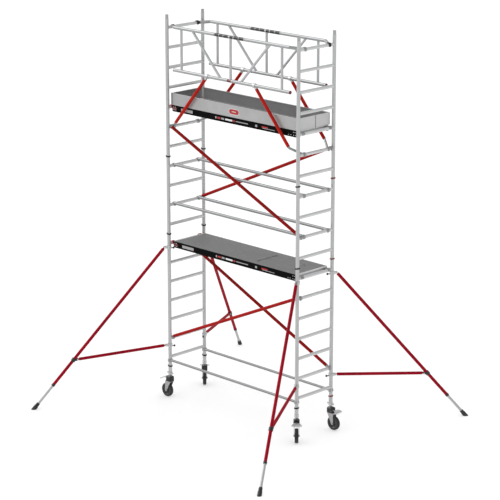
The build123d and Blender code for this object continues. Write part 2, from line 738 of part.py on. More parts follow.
def stab_leg():
    """Inner leg with its row of stop holes."""
    top, foot = stab_axis()
    length = (Vector(*foot) - Vector(*top)).length
    start = along(top, foot, STAB_LEG_START)
    leg = tube(start, along(top, foot, length - FOOT_LONG + FOOT_BORE_DEEP), STAB_LEG_R, STAB_LEG_WALL)
    for index in range(STAB_LEG_HOLES):
        at = along(top, foot, STAB_LEG_START + STAB_HOLE_PITCH * (index + 1))
        leg -= Pos(*at) * Rot(90, 0, 0) * Cylinder(STAB_HOLE_R, BIG)
    return [leg]


def stab_foot():
    """Rubber foot, cut flat where it stands on the ground."""
    top, foot = stab_axis()
    length = (Vector(*foot) - Vector(*top)).length
    start = along(top, foot, length - FOOT_LONG)
    pad = rod(start, along(top, foot, length + FOOT_LONG), FOOT_R)
    pad -= rod(start, along(start, foot, FOOT_BORE_DEEP), STAB_LEG_R)
    pad -= block(0, 2 * STAB_FOOT_R, -BIG, BIG, -BIG, 0)
    return [pad]


# ---- Castors, drawn with the spindle on the Z axis and the wheel trailing along +X ----
def castor_wheel():
    """Rubber tyre on a wheel centre with a hub."""
    axis = Pos(TRAIL, 0, WHEEL_R) * Rot(90, 0, 0)
    tyre = Cylinder(WHEEL_R, WHEEL_WIDE) - Cylinder(TYRE_INNER, WHEEL_WIDE)
    tyre = fillet(tyre.edges().filter_by(GeomType.CIRCLE).group_by(SortBy.RADIUS)[-1], CORE_RIM)
    core = Cylinder(TYRE_INNER, CORE_RIM_WIDE) - Cylinder(TYRE_INNER - CORE_RIM, CORE_RIM_WIDE)
    core += Cylinder(TYRE_INNER - CORE_RIM, CORE_WEB) + Cylinder(HUB_R, HUB_WIDE)
    core -= Cylinder(HUB_BORE, BIG)
    return [axis * tyre, axis * core]


def fork_plate(y0, y1):
    """Tapered side plate of the fork."""
    top = FORK_CROWN_Z + FORK_CROWN
    outline = Polyline(
        (-FORK_TOP_BACK, top),
        (FORK_TOP_FRONT, top),
        (TRAIL + FORK_LOW_R, WHEEL_R),
        (TRAIL - FORK_LOW_R, WHEEL_R),
        close=True,
    )
    plate = extrude(Plane(origin=(0, y0, 0), x_dir=(1, 0, 0), z_dir=(0, -1, 0)) * make_face(outline), y0 - y1)
    return plate + rod((TRAIL, y0, WHEEL_R), (TRAIL, y1, WHEEL_R), FORK_LOW_R)


def castor_fork():
    """Fork: crown and two side plates, with the axle bolt."""
    outer = FORK_GAP + FORK_PLATE
    crown_top = FORK_CROWN_Z + FORK_CROWN
    fork = block(-FORK_TOP_BACK, FORK_TOP_FRONT, -outer, outer, FORK_CROWN_Z, crown_top)
    for sy in SIDES:
        fork += fork_plate(sy * FORK_GAP, sy * outer)
    fork -= Pos(0, 0, FORK_CROWN_Z) * Cylinder(KING_BORE, BIG)
    fork -= rod((TRAIL, -BIG, WHEEL_R), (TRAIL, BIG, WHEEL_R), AXLE_R)
    axle = rod((TRAIL, -outer, WHEEL_R), (TRAIL, outer, WHEEL_R), AXLE_R)
    for sy in SIDES:
        axle += rod((TRAIL, sy * outer, WHEEL_R), (TRAIL, sy * (outer + NUT_LONG), WHEEL_R), NUT_R)
    return [fork, axle]


def castor_head():
    """Black brake housing on the fork crown, with the lever's pin and the lock ring."""
    body = block(-HEAD_BACK, HEAD_FRONT, -HEAD_HALF_Y, HEAD_HALF_Y, HEAD_Z0, HEAD_Z1)
    body = fillet(body.edges().filter_by(Axis.Z), FORK_LOW_R)
    body = chamfer(body.faces().sort_by(Axis.Z)[-1].edges(), CORE_RIM)
    body -= block(HEAD_SLOT_X, BIG, -HEAD_SLOT_Y, HEAD_SLOT_Y, HEAD_SLOT_Z0, HEAD_SLOT_Z1)
    body -= Pos(0, 0, HEAD_Z0) * Cylinder(KING_BORE, BIG)
    pivot = (LEVER_PIVOT_X, 0, LEVER_PIVOT_Z)
    body -= Pos(*pivot) * Rot(90, 0, 0) * Cylinder(LEVER_PIN_R, BIG)
    ring = Rot(90, 0, 0) * Torus(LOOP_R, LOOP_WIRE)
    body += Rot(0, 0, LOOP_TURN) * Pos(LOOP_AT, 0, LOOP_Z) * ring
    pin = Pos(*pivot) * Rot(90, 0, 0) * Cylinder(LEVER_PIN_R, 2 * HEAD_HALF_Y)
    return [body, pin]


def castor_lever():
    """Brake pedal: a hub on its pin and a curved plate that widens to the tip."""
    pivot = Pos(LEVER_PIVOT_X, 0, LEVER_PIVOT_Z) * Rot(90, 0, 0)
    hub = pivot * Cylinder(LEVER_HUB_R, 2 * LEVER_HALF_Y)
    centre_x = (LEVER_ROOT_X + LEVER_REACH) / 2
    arc = Pos(centre_x, 0, LEVER_ARC_Z) * Rot(90, 0, 0)
    shell = arc * (Cylinder(LEVER_ARC_R, BIG) - Cylinder(LEVER_ARC_R - LEVER_PLATE, BIG))
    plan = Polyline(
        (LEVER_ROOT_X, -LEVER_ROOT_HALF),
        (HEAD_FRONT + LEVER_PLATE, -LEVER_ROOT_HALF),
        (LEVER_REACH, -LEVER_TIP_HALF),
        (LEVER_REACH, LEVER_TIP_HALF),
        (HEAD_FRONT + LEVER_PLATE, LEVER_ROOT_HALF),
        (LEVER_ROOT_X, LEVER_ROOT_HALF),
        close=True,
    )
    prism = extrude(Pos(0, 0, LEVER_ARC_Z) * make_face(plan), BIG)
    plate = shell & prism
    lever = hub + plate
    return [lever - pivot * Cylinder(LEVER_BORE, BIG)]


def castor_spindle():
    """Adjusting spindle with the swivel flange, the king pin and its nut."""
    flange_z = HEAD_Z1 + RUN_GAP
    spindle = rod((0, 0, flange_z), (0, 0, SPINDLE_TOP_Z), SPINDLE_R)
    spindle -= rod((0, 0, WINGNUT_Z0), (0, 0, SPINDLE_TOP_Z), SPINDLE_R - SPINDLE_WALL)
    spindle += rod((0, 0, flange_z), (0, 0, flange_z + FLANGE_THICK), FLANGE_R)
    spindle += rod((0, 0, KING_NUT_Z), (0, 0, flange_z), KING_R)
    spindle += rod((0, 0, KING_NUT_Z), (0, 0, FORK_CROWN_Z - RUN_GAP), KING_NUT_R)
    return [spindle]


def castor_wing_nut():
    """Adjusting nut that the upright stands on, with two wings."""
    top = FRAME_BASE_Z - WINGNUT_GAP
    nut = rod((0, 0, WINGNUT_Z0), (0, 0, top), WINGNUT_R)
    nut += rod((0, 0, WINGNUT_Z0), (0, 0, WINGNUT_Z0 + WINGNUT_BOSS_HIGH), WINGNUT_BOSS_R)
    low = WINGNUT_Z0 + (WINGNUT_BOSS_HIGH - WING_HIGH) / 2
    wing = block(-WING_REACH, WING_REACH, -WING_THICK / 2, WING_THICK / 2, low, low + WING_HIGH)
    nut += fillet(wing.edges().filter_by(Axis.Y), WING_HIGH / 3)
    return [nut - Pos(0, 0, FRAME_BASE_Z) * Cylinder(WINGNUT_BORE, BIG)]


# ---- Build ----
def place(shapes, sx, sy, angle):
    """Turn shapes about the upright axis of one corner and put them there."""
    return [Pos(sx * HALF_X, sy * HALF_Y, 0) * Rot(0, 0, angle) * shape for shape in shapes]


def save_tower():
    """Everything that stands still: frames, braces, platforms, guardrails."""
    for level, (first, rungs) in FRAMES.items():
        save(f"frame_{level}_left", end_frame(first, rungs, -1))
        save(f"frame_{level}_right", end_frame(first, rungs, 1))
    save("frame_spigots", frame_spigots())
    save("locking_clips", locking_clips())
    save("base_braces", base_braces())
    save("guard_braces", brace_tubes(GUARD_BRACE_R))
    save("diagonal_braces", brace_tubes(DIAGONAL_R))
    save("brace_claws", brace_claws() + base_brace_claws())
    lower, upper = rung_z(LOWER_RUNG) + DECK_ABOVE_RUNG, rung_z(UPPER_RUNG) + DECK_ABOVE_RUNG
    save("lower_deck", deck(lower))
    save("upper_deck", deck(upper))
    save("lower_hatch", hatch(lower))
    save("upper_hatch", hatch(upper))
    save("platform_side_beams", side_beams(lower) + side_beams(upper))
    save("platform_cross_members", cross_members(lower) + cross_members(upper))
    save("platform_hooks", platform_hooks(LOWER_RUNG) + platform_hooks(UPPER_RUNG))
    save("toe_boards", toe_boards(upper))
    save("guardrails", guardrail(-1) + guardrail(1))
    save("rail_end_caps", rail_caps())
    save("guardrail_arms", guardrail_arms())
    save("guardrail_fittings", guardrail_hooks() + arm_fittings())


def save_corner(name, sx, sy):
    """Stabiliser and castor of one corner."""
    angle = degrees(atan2(sy * sin(radians(STAB_ANGLE)), sx * cos(radians(STAB_ANGLE))))
    save(f"stabiliser_{name}_tubes", place(stab_tubes(), sx, sy, angle))
    save(f"stabiliser_{name}_clamps", place(stab_clamps(), sx, sy, angle))
    save(f"stabiliser_{name}_leg", place(stab_leg(), sx, sy, angle))
    save(f"stabiliser_{name}_foot", place(stab_foot(), sx, sy, angle))
    trail = TRAIL_ANGLES[name]
    save(f"castor_{name}_spindle", place(castor_spindle(), sx, sy, trail))
    save(f"castor_{name}_wing_nut", place(castor_wing_nut(), sx, sy, trail))
    save(f"castor_{name}_fork", place(castor_fork() + castor_head(), sx, sy, trail))
    save(f"castor_{name}_wheel", place(castor_wheel(), sx, sy, trail))
    save(f"castor_{name}_lever", place(castor_lever(), sx, sy, trail))


os.makedirs("parts", exist_ok=True)
save_tower()
for corner, (corner_x, corner_y) in CORNERS.items():
    save_corner(corner, corner_x, corner_y)
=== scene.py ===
import json
from math import atan2, cos, hypot, pi, radians, sin, sqrt, tau

import bmesh
import bpy
from mathutils import Matrix, Vector


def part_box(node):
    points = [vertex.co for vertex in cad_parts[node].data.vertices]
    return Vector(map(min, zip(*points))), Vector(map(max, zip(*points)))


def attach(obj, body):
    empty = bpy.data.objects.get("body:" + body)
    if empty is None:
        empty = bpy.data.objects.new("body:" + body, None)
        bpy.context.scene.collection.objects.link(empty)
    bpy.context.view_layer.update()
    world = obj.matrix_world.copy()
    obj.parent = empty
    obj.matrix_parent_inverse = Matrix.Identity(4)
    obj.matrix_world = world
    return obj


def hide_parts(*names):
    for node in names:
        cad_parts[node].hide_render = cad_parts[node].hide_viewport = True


# Mobile access tower.  Metres, X along the long side, Y across, Z up, ground at Z = 0.
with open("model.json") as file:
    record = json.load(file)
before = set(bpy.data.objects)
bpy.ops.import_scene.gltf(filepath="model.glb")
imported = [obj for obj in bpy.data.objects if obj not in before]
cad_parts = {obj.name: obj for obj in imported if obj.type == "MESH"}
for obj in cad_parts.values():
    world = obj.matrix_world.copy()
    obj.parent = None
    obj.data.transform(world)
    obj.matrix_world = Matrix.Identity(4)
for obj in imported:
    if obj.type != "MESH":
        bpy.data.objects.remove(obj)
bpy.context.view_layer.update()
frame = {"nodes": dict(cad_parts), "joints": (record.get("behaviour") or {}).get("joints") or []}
JOINTS = {joint["name"]: joint for joint in frame["joints"]}
CORNERS = ("front_left", "front_right", "rear_left", "rear_right")
LEVELS = ("bottom", "middle", "top")
SIDES = (("left", -1), ("right", 1))

# ---- Sizes, read from the CAD nodes or set to the CAD's own numbers ----
MM = 0.001
SPIGOT_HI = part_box("frame_spigots")[1]
SPIGOT_R = 22.6 * MM
HALF_X = SPIGOT_HI.x - SPIGOT_R
HALF_Y = SPIGOT_HI.y - SPIGOT_R
POST_R = 25.4 * MM
RUNG_R = 22.5 * MM
RUNG_PITCH = 280 * MM
FIRST_RUNG = 155 * MM
RUNG_COUNT = {"bottom": 7, "middle": 4, "top": 7}
RAIL_LO, RAIL_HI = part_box("guardrails")
RAIL_R = 22.5 * MM
RAIL_Y = RAIL_HI.y - RAIL_R
RAIL_TOP_Z = 5.390
RAIL_LOW_Z = RAIL_LO.z + RAIL_R
RAILS = (("front", -RAIL_Y), ("rear", RAIL_Y))
UPRIGHT_R = 18 * MM
UPRIGHT_X = (-0.955, 0.0, 0.955)
BRACKET_TOP_X = 0.742
BRACKET_LOW_X = 0.186
HOOKS_ABOVE = 5.2
KNUCKLES_ABOVE = 4.6
DECK_PROUD = 8.6 * MM
DECK_TOP = {name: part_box(f"{name}_deck")[1].z - DECK_PROUD for name in ("lower", "upper")}
BEAM_HALF_X, BEAM_FACE_Y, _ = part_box("platform_side_beams")[1]
DECK_HALF_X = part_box("upper_deck")[1].x
TOE_LO, TOE_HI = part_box("toe_boards")
TOE_FACE_Y = 304 * MM
BAND_GAP = 0.15 * MM
BAND_SPANS = ((-0.29, -0.21), (-0.20, -0.13), (-0.12, -0.03), (0.0, 0.06), (0.075, 0.16), (0.17, 0.26))
CLIP_R = 30.5 * MM
CLIP_WIRE = 4.4 * MM
CLIP_COIL = 9.0 * MM
CLIP_TILT = radians(8)
WELD_RUNG = 2.1 * MM
WELD_RAIL = 1.9 * MM
WHEEL_R = 100 * MM
TRAIL = 60 * MM
THREAD_PITCH = 12 * MM
FLANGE_Z = 316.4 * MM
SPINDLE_BORE_Z = 0.345
SAME_PLACE = 2e-6
FLAT_ANGLE = radians(0.5)
BEVEL_ANGLE = radians(32)
SMOOTH_ANGLE = radians(35)


# ---- Materials ----
def node(tree, kind, **values):
    """New shader node with some of its properties set."""
    made = tree.nodes.new(kind)
    for key, value in values.items():
        setattr(made, key, value)
    return made


def own_place(tree):
    """The object's own coordinates."""
    return node(tree, "ShaderNodeTexCoord").outputs["Object"]


def own_axes(tree):
    """The object's own X, Y and Z as three sockets."""
    split = node(tree, "ShaderNodeSeparateXYZ")
    tree.links.new(own_place(tree), split.inputs["Vector"])
    return split.outputs


def scaled_noise(tree, scale, detail=4.0, rough=0.55, stretch=(1, 1, 1)):
    """Noise in the object's own coordinates, stretched along its axes."""
    mapping = node(tree, "ShaderNodeMapping")
    mapping.inputs["Scale"].default_value = stretch
    noise = node(tree, "ShaderNodeTexNoise")
    for socket, number in (("Scale", scale), ("Detail", detail), ("Roughness", rough)):
        noise.inputs[socket].default_value = number
    tree.links.new(own_place(tree), mapping.inputs["Vector"])
    tree.links.new(mapping.outputs["Vector"], noise.inputs["Vector"])
    return noise.outputs["Fac"]


def ranged(tree, value, low, high, out_low, out_high):
    """A value mapped from one range to another and held there."""
    made = node(tree, "ShaderNodeMapRange", clamp=True)
    for socket, number in zip(("From Min", "From Max", "To Min", "To Max"), (low, high, out_low, out_high)):
        made.inputs[socket].default_value = number
    tree.links.new(value, made.inputs["Value"])
    return made.outputs["Result"]


def mixed(tree, factor, first, second):
    """Colour between first and second; each is a colour or a socket."""
    made = node(tree, "ShaderNodeMix", data_type="RGBA")
    tree.links.new(factor, made.inputs["Factor"])
    for socket, value in ((made.inputs[6], first), (made.inputs[7], second)):
        if hasattr(value, "links"):
            tree.links.new(value, socket)
        else:
            socket.default_value = (*value, 1)
    return made.outputs[2]


def toned(tree, pattern, low, high, first, second, most=1.0):
    """First colour, turning into the second as a pattern goes from low to high."""
    return mixed(tree, ranged(tree, pattern, low, high, 0.0, most), first, second)


def maths(tree, operation, first, second):
    """One sum on two values, each a number or a socket."""
    made = node(tree, "ShaderNodeMath", operation=operation)
    for socket, value in zip(made.inputs, (first, second)):
        if hasattr(value, "links"):
            tree.links.new(value, socket)
        else:
            socket.default_value = value
    return made.outputs["Value"]


def shaded(colour, gain):
    """A colour made lighter or darker."""
    return tuple(min(1.0, c * gain) for c in colour)


def lightened(tree, colour, gain):
    """A colour socket made lighter or darker."""
    made = node(tree, "ShaderNodeVectorMath", operation="SCALE")
    made.inputs["Scale"].default_value = gain
    tree.links.new(colour, made.inputs[0])
    return made.outputs["Vector"]


def new_material(name, metallic, **shader_values):
    """Empty node material with its shader."""
    made = bpy.data.materials.new(name)
    made.use_nodes = True
    shader = made.node_tree.nodes["Principled BSDF"]
    shader.inputs["Metallic"].default_value = metallic
    for key, value in shader_values.items():
        shader.inputs[key].default_value = value
    return made, made.node_tree, shader


def surfaced(tree, shader, tone, roughness, layers):
    """Colour, roughness and bump joined to a shader; layers are (height, strength, depth)."""
    tree.links.new(tone, shader.inputs["Base Color"])
    tree.links.new(roughness, shader.inputs["Roughness"])
    normal = None
    for height, strength, depth in layers:
        made = node(tree, "ShaderNodeBump")
        made.inputs["Strength"].default_value = strength
        made.inputs["Distance"].default_value = depth
        tree.links.new(height, made.inputs["Height"])
        if normal is not None:
            tree.links.new(normal, made.inputs["Normal"])
        normal = made.outputs["Normal"]
    tree.links.new(normal, shader.inputs["Normal"])


def drawn_metal(name, colour, stretch, rough=(0.40, 0.54), streak=0.88, metallic=0.45):
    """Drawn aluminium: fine lines along the tube, soft stains, small scratches."""
    made, tree, shader = new_material(name, metallic)
    lines = scaled_noise(tree, 1.0, 5.0, 0.65, stretch)
    stains = scaled_noise(tree, 5.0, 3.0)
    marks = scaled_noise(tree, 1.0, 2.0, 0.5, tuple(0.35 * s + 60 for s in stretch))
    light = shaded(colour, 1.12)
    tone = toned(tree, lines, 0.30, 0.70, shaded(colour, streak), colour)
    tone = toned(tree, stains, 0.45, 0.70, tone, light, 0.5)
    tone = toned(tree, marks, 0.66, 0.72, tone, light, 0.7)
    roughness = ranged(tree, maths(tree, "ADD", lines, stains), 0.7, 1.3, *rough)
    surfaced(tree, shader, tone, roughness, [(lines, 0.10, 0.0001), (stains, 0.06, 0.0006)])
    return made


def rail_metal(name, colour):
    """Drawn tube of the guardrails, with painted light: a lighter tone on the uprights between the two rails."""
    made = drawn_metal(name, colour, (5, 90, 90))
    tree = made.node_tree
    base = tree.nodes["Principled BSDF"].inputs["Base Color"]
    tone = base.links[0].from_socket
    middle = (RAIL_LOW_Z + RAIL_TOP_Z) / 2
    reach = (RAIL_TOP_Z - RAIL_LOW_Z) / 2 - RAIL_R
    away = maths(tree, "ABSOLUTE", maths(tree, "SUBTRACT", own_axes(tree)["Z"], middle), 0)
    between = maths(tree, "LESS_THAN", away, reach)
    # Painted light: between the two rails, on the uprights, the tone is made lighter.
    tree.links.new(mixed(tree, between, tone, lightened(tree, tone, 1.35)), base)
    return made


def frame_metal(name, colour):
    """Drawn tube of the end frames: lines along Z on the posts, along Y on the rungs; the rungs carry painted light, a
    lighter tone than the posts.
    """
    made, tree, shader = new_material(name, 0.55)
    axes = own_axes(tree)
    on_post = maths(tree, "GREATER_THAN", maths(tree, "ABSOLUTE", axes["Y"], 0), HALF_Y - POST_R)
    up = scaled_noise(tree, 1.0, 5.0, 0.65, (420, 420, 4))
    across = scaled_noise(tree, 1.0, 5.0, 0.65, (420, 4, 420))
    choose = node(tree, "ShaderNodeMix", data_type="FLOAT")
    for index, value in ((0, on_post), (2, across), (3, up)):
        tree.links.new(value, choose.inputs[index])
    lines = choose.outputs[0]
    stains = scaled_noise(tree, 4.0, 3.0)
    low = ranged(tree, axes["Z"], 0.45, 1.3, 0.22, 0.0)
    tone = toned(tree, lines, 0.30, 0.70, shaded(colour, 0.84), colour)
    tone = toned(tree, stains, 0.45, 0.72, tone, shaded(colour, 1.1), 0.5)
    dust = maths(tree, "MULTIPLY", low, ranged(tree, stains, 0.3, 0.6, 0.2, 1.0))
    tone = mixed(tree, dust, tone, (0.47, 0.46, 0.44))
    # Painted light: the rungs take the tone made lighter, the posts keep it as it is.
    tone = mixed(tree, on_post, lightened(tree, tone, 1.24), tone)
    roughness = ranged(tree, maths(tree, "ADD", lines, stains), 0.7, 1.3, 0.34, 0.48)
    surfaced(tree, shader, tone, roughness, [(lines, 0.10, 0.0001), (stains, 0.06, 0.0006)])
    return made


def cast_metal(name, colour, rough=(0.38, 0.58), grain=420.0):
    """Cast or forged metal: fine granular skin with darker hollows."""
    made, tree, shader = new_material(name, 0.8)
    grains = scaled_noise(tree, grain, 4.0, 0.6)
    patches = scaled_noise(tree, 24.0, 3.0)
    tone = toned(tree, patches, 0.34, 0.66, shaded(colour, 0.72), colour)
    tone = toned(tree, grains, 0.55, 0.75, tone, shaded(colour, 1.3), 0.35)
    surfaced(tree, shader, tone, ranged(tree, patches, 0.3, 0.7, *rough),
             [(grains, 0.45, 0.0004), (patches, 0.15, 0.001)])
    return made


def zinc_metal(name, colour):
    """Zinc-plated steel: faint crystal spangle, satin."""
    made, tree, shader = new_material(name, 0.95)
    cells = node(tree, "ShaderNodeTexVoronoi")
    cells.inputs["Scale"].default_value = 160.0
    tree.links.new(own_place(tree), cells.inputs["Vector"])
    tint = node(tree, "ShaderNodeSeparateColor")
    tree.links.new(cells.outputs["Color"], tint.inputs["Color"])
    spangle = tint.outputs[0]
    fine = scaled_noise(tree, 300.0, 3.0)
    tone = mixed(tree, spangle, shaded(colour, 0.86), shaded(colour, 1.08))
    roughness = maths(tree, "ADD", ranged(tree, spangle, 0, 1, 0.24, 0.36), ranged(tree, fine, 0.3, 0.7, 0, 0.06))
    surfaced(tree, shader, tone, roughness, [(fine, 0.2, 0.0002)])
    return made


def painted(name, colour, shade=0.80, rough=(0.40, 0.55), gloss=0.06, chip=(0.5, 0.5, 0.5), chips=0.75):
    """Powder-coated metal: orange-peel skin, slow tone changes, a few bare specks."""
    made, tree, shader = new_material(name, 0.0, **{"Specular IOR Level": gloss})
    peel = scaled_noise(tree, 620.0, 2.0)
    broad = scaled_noise(tree, 3.2, 3.0)
    specks = scaled_noise(tree, 130.0, 5.0, 0.7)
    rub = scaled_noise(tree, 1.0, 3.0, 0.6, (55, 55, 14))
    tone = toned(tree, broad, 0.32, 0.68, shaded(colour, shade), colour)
    tone = toned(tree, rub, 0.60, 0.74, tone, shaded(colour, 0.5), 0.25)
    bare = ranged(tree, specks, chips, chips + 0.012, 0.0, 1.0)
    surfaced(tree, shader, mixed(tree, bare, tone, chip), ranged(tree, rub, 0.35, 0.7, *rough),
             [(peel, 0.12, 0.0003), (bare, 0.3, 0.0002)])
    return made


def moulded(name, colour, rough=(0.42, 0.6), grain=700.0, dust=0.12):
    """Moulded plastic or rubber: fine texture and a little dust."""
    made, tree, shader = new_material(name, 0.0, **{"Specular IOR Level": 0.4})
    fine = scaled_noise(tree, grain, 3.0)
    broad = scaled_noise(tree, 14.0, 4.0, 0.6)
    grey = tuple(min(1, c + dust) for c in colour)
    surfaced(tree, shader, toned(tree, broad, 0.42, 0.72, colour, grey, 0.5),
             ranged(tree, broad, 0.3, 0.7, *rough), [(fine, 0.35, 0.0004)])
    return made


def deck_film(name, colour):
    """Phenolic film on plywood with a pressed wire-mesh pattern, scuffed along the middle."""
    made, tree, shader = new_material(name, 0.0, **{"Specular IOR Level": 0.45})
    turn = node(tree, "ShaderNodeMapping")
    turn.inputs["Rotation"].default_value = (0, 0, pi / 4)
    mesh = node(tree, "ShaderNodeTexVoronoi", feature="DISTANCE_TO_EDGE")
    mesh.inputs["Scale"].default_value = 145.0
    mesh.inputs["Randomness"].default_value = 0.0
    tree.links.new(own_place(tree), turn.inputs["Vector"])
    tree.links.new(turn.outputs["Vector"], mesh.inputs["Vector"])
    edge = mesh.outputs["Distance"]
    wires = ranged(tree, edge, 0.05, 0.22, 0.0, 1.0)
    broad = scaled_noise(tree, 2.6, 5.0, 0.6)
    scuffs = scaled_noise(tree, 1.0, 4.0, 0.6, (9, 42, 9))
    tone = toned(tree, broad, 0.3, 0.7, shaded(colour, 0.86), colour)
    tone = toned(tree, scuffs, 0.58, 0.74, tone, shaded(colour, 1.35), 0.35)
    tone = mixed(tree, ranged(tree, edge, 0.02, 0.12, 0.35, 0.0), tone, shaded(colour, 0.5))
    surfaced(tree, shader, tone, ranged(tree, scuffs, 0.35, 0.7, 0.62, 0.46),
             [(wires, 0.5, 0.0006), (scuffs, 0.1, 0.0005)])
    return made


MATERIALS = {
    "alloy": frame_metal("tower_aluminium", (0.51, 0.515, 0.52)),
    "rail": rail_metal("rail_aluminium", (0.36, 0.365, 0.37)),
    "brace": drawn_metal("brace_aluminium", (0.27, 0.275, 0.28), (4, 90, 90)),
    "base_brace": drawn_metal("base_brace_aluminium", (0.22, 0.225, 0.23), (4, 90, 90)),
    "spigot": drawn_metal("spigot_aluminium", (0.42, 0.425, 0.43), (90, 90, 6)),
    "leg": drawn_metal("leg_aluminium", (0.46, 0.465, 0.47), (90, 90, 40)),
    "channel": drawn_metal("channel_aluminium", (0.40, 0.405, 0.41), (90, 5, 90)),
    "trim": drawn_metal("trim_aluminium", (0.76, 0.765, 0.77), (90, 5, 90), (0.4, 0.54), 0.92),
    "toe_light": drawn_metal("toe_board_aluminium", (0.39,) * 3, (3, 3, 260), (0.34, 0.5), 0.9),
    # Painted light: the end toe boards get a lighter aluminium than the side boards.
    "toe_end_painted_light": drawn_metal("toe_board_end_aluminium_painted_light", (0.54,) * 3, (3, 3, 260), (0.34, 0.5), 0.9),
    "toe_dark": drawn_metal("toe_board_inner_film", (0.24, 0.24, 0.245), (3, 3, 90), (0.5, 0.62), 0.9, 0.1),
    "weld": cast_metal("weld_bead", (0.62,) * 3, (0.3, 0.45), 900.0),
    "cast": cast_metal("grey_casting", (0.38, 0.385, 0.39)),
    "bright_cast": cast_metal("bright_casting", (0.60, 0.605, 0.61)),
    "dark_cast": cast_metal("dark_casting", (0.045, 0.045, 0.05)),
    "zinc": zinc_metal("zinc_plate", (0.60, 0.61, 0.62)),
    "spindle": zinc_metal("spindle_zinc_plate", (0.21, 0.21, 0.215)),
    "fork": zinc_metal("fork_plate_steel", (0.38, 0.37, 0.38)),
    "red": painted("red_powder_coat", (0.36, 0.007, 0.006)),
    # Painted shade: a darker copy of the red for the diagonals that fall towards the right.
    "deep_red": painted("red_powder_coat_painted_shade", (0.26, 0.004, 0.003)),
    "orange": painted("orange_red_powder_coat", (0.46, 0.014, 0.008)),
    "crimson": painted("crimson_powder_coat", (0.33, 0.002, 0.014)),
    "hook_red": painted("hook_red_coat", (0.30, 0.008, 0.012)),
    "black_beam": painted("black_powder_coat", (0.003, 0.003, 0.0033), 0.8, (0.45, 0.6), 0.03, (0.16,) * 3, 0.77),
    "black_steel": painted("black_steel_coat", (0.008,) * 3, 0.7, (0.4, 0.55), 0.1, (0.2,) * 3, 0.77),
    "dark_red": moulded("dark_red_plastic", (0.16, 0.008, 0.014), (0.3, 0.45), 500.0, 0.03),
    "black_plastic": moulded("black_plastic", (0.011, 0.011, 0.012), (0.4, 0.55), 500.0, 0.02),
    "tyre": moulded("tyre_rubber", (0.014,) * 3, (0.55, 0.75), 900.0, 0.03),
    "wheel_core": moulded("wheel_centre_plastic", (0.045, 0.045, 0.047), (0.32, 0.48), 400.0, 0.04),
    "rubber": moulded("foot_rubber", (0.016,) * 3, (0.5, 0.7), 800.0, 0.05),
    "deck": deck_film("deck_film", (0.175, 0.176, 0.178)),
    "sticker_light": moulded("label_light_grey", (0.30,) * 3, (0.3, 0.42), 300.0, 0.06),
    "sticker_red": moulded("label_red", (0.38, 0.008, 0.010), (0.28, 0.4), 300.0, 0.03),
    "sticker_dull_red": moulded("label_dull_red", (0.13, 0.012, 0.016), (0.3, 0.45), 300.0, 0.03),
    "sticker_dark": moulded("label_dark", (0.012, 0.012, 0.013), (0.3, 0.45), 300.0, 0.04),
    "sticker_white": moulded("label_white", (0.66,) * 3, (0.3, 0.42), 300.0, 0.04),
}


# ---- Mesh helpers ----
def circle(radius, count):
    """Points round a circle in the X-Y plane."""
    return [(radius * cos(tau * i / count), radius * sin(tau * i / count)) for i in range(count)]


def shift(x, y, z):
    """Matrix of a move."""
    return Matrix.Translation((x, y, z))


def spin(angle, axis):
    """Matrix of a turn about an axis."""
    return Matrix.Rotation(angle, 4, axis)


def skinned(made, pairs, caps=()):
    """Four-sided faces between pairs of rings, and faces over the end rings."""
    for first, second in pairs:
        for k in range(len(first)):
            j = (k + 1) % len(first)
            made.faces.new((first[k], first[j], second[j], second[k]))
    for ring in caps:
        made.faces.new(ring)
    return made


def lathe(profile, segments=48):
    """Surface of revolution about Z of a closed (radius, height) profile."""
    made = bmesh.new()
    rings = []
    for radius, height in profile:
        points = [(0, 0)] if radius < 1e-7 else circle(radius, segments)
        rings.append([made.verts.new((x, y, height)) for x, y in points])
    for first, second in zip(rings, rings[1:] + rings[:1]):
        for i in range(segments):
            j = (i + 1) % segments
            corners = [first[i % len(first)], first[j % len(first)], second[j % len(second)], second[i % len(second)]]
            unique = list(dict.fromkeys(corners))
            if len(unique) > 2:
                made.faces.new(unique)
    return made


def prism(points, low, high):
    """Straight prism from points in the X-Y plane."""
    made = bmesh.new()
    bottom = [made.verts.new((x, y, low)) for x, y in points]
    top = [made.verts.new((x, y, high)) for x, y in points]
    made.faces.new(bottom)
    made.faces.new(top)
    return skinned(made, [(bottom, top)])


def brick(x0, x1, y0, y1, z0, z1):
    """Box from its limits."""
    return prism([(x0, y0), (x1, y0), (x1, y1), (x0, y1)], z0, z1)


def rod(radius, z0, z1, segments=24):
    """Solid round bar along Z."""
    return lathe([(0, z0), (radius, z0), (radius, z1), (0, z1)], segments)


def sweep(points, radii, sides=10, closed=False):
    """Round bar along points, with one radius or one for each point."""
    made = bmesh.new()
    count = len(points)
    radii = radii if isinstance(radii, list) else [radii] * count
    rings = []
    normal = None
    for i, point in enumerate(points):
        if closed:
            ahead, back = points[(i + 1) % count], points[i - 1]
        else:
            ahead, back = points[min(i + 1, count - 1)], points[max(i - 1, 0)]
        heading = (Vector(ahead) - Vector(back)).normalized()
        if normal is None:
            normal = heading.orthogonal().normalized()
        normal = (normal - heading * normal.dot(heading)).normalized()
        side = heading.cross(normal)
        rings.append([made.verts.new(Vector(point) + (normal * x + side * y) * radii[i]) for x, y in circle(1, sides)])
    pairs = list(zip(rings, rings[1:]))
    if not closed:
        return skinned(made, pairs, (rings[0], rings[-1]))
    last = rings[-1]
    offset = min(range(sides), key=lambda s: (last[0].co - rings[0][s].co).length)
    return skinned(made, pairs + [(last, rings[0][offset:] + rings[0][:offset])])


def joined(*shapes):
    """Several bmeshes as one."""
    made = bmesh.new()
    for shape in shapes:
        spare = bpy.data.meshes.new("spare")
        shape.to_mesh(spare)
        made.from_mesh(spare)
        bpy.data.meshes.remove(spare)
        shape.free()
    return made


def moved(shape, matrix):
    """A bmesh moved by a matrix."""
    bmesh.ops.transform(shape, matrix=matrix, verts=shape.verts)
    return shape


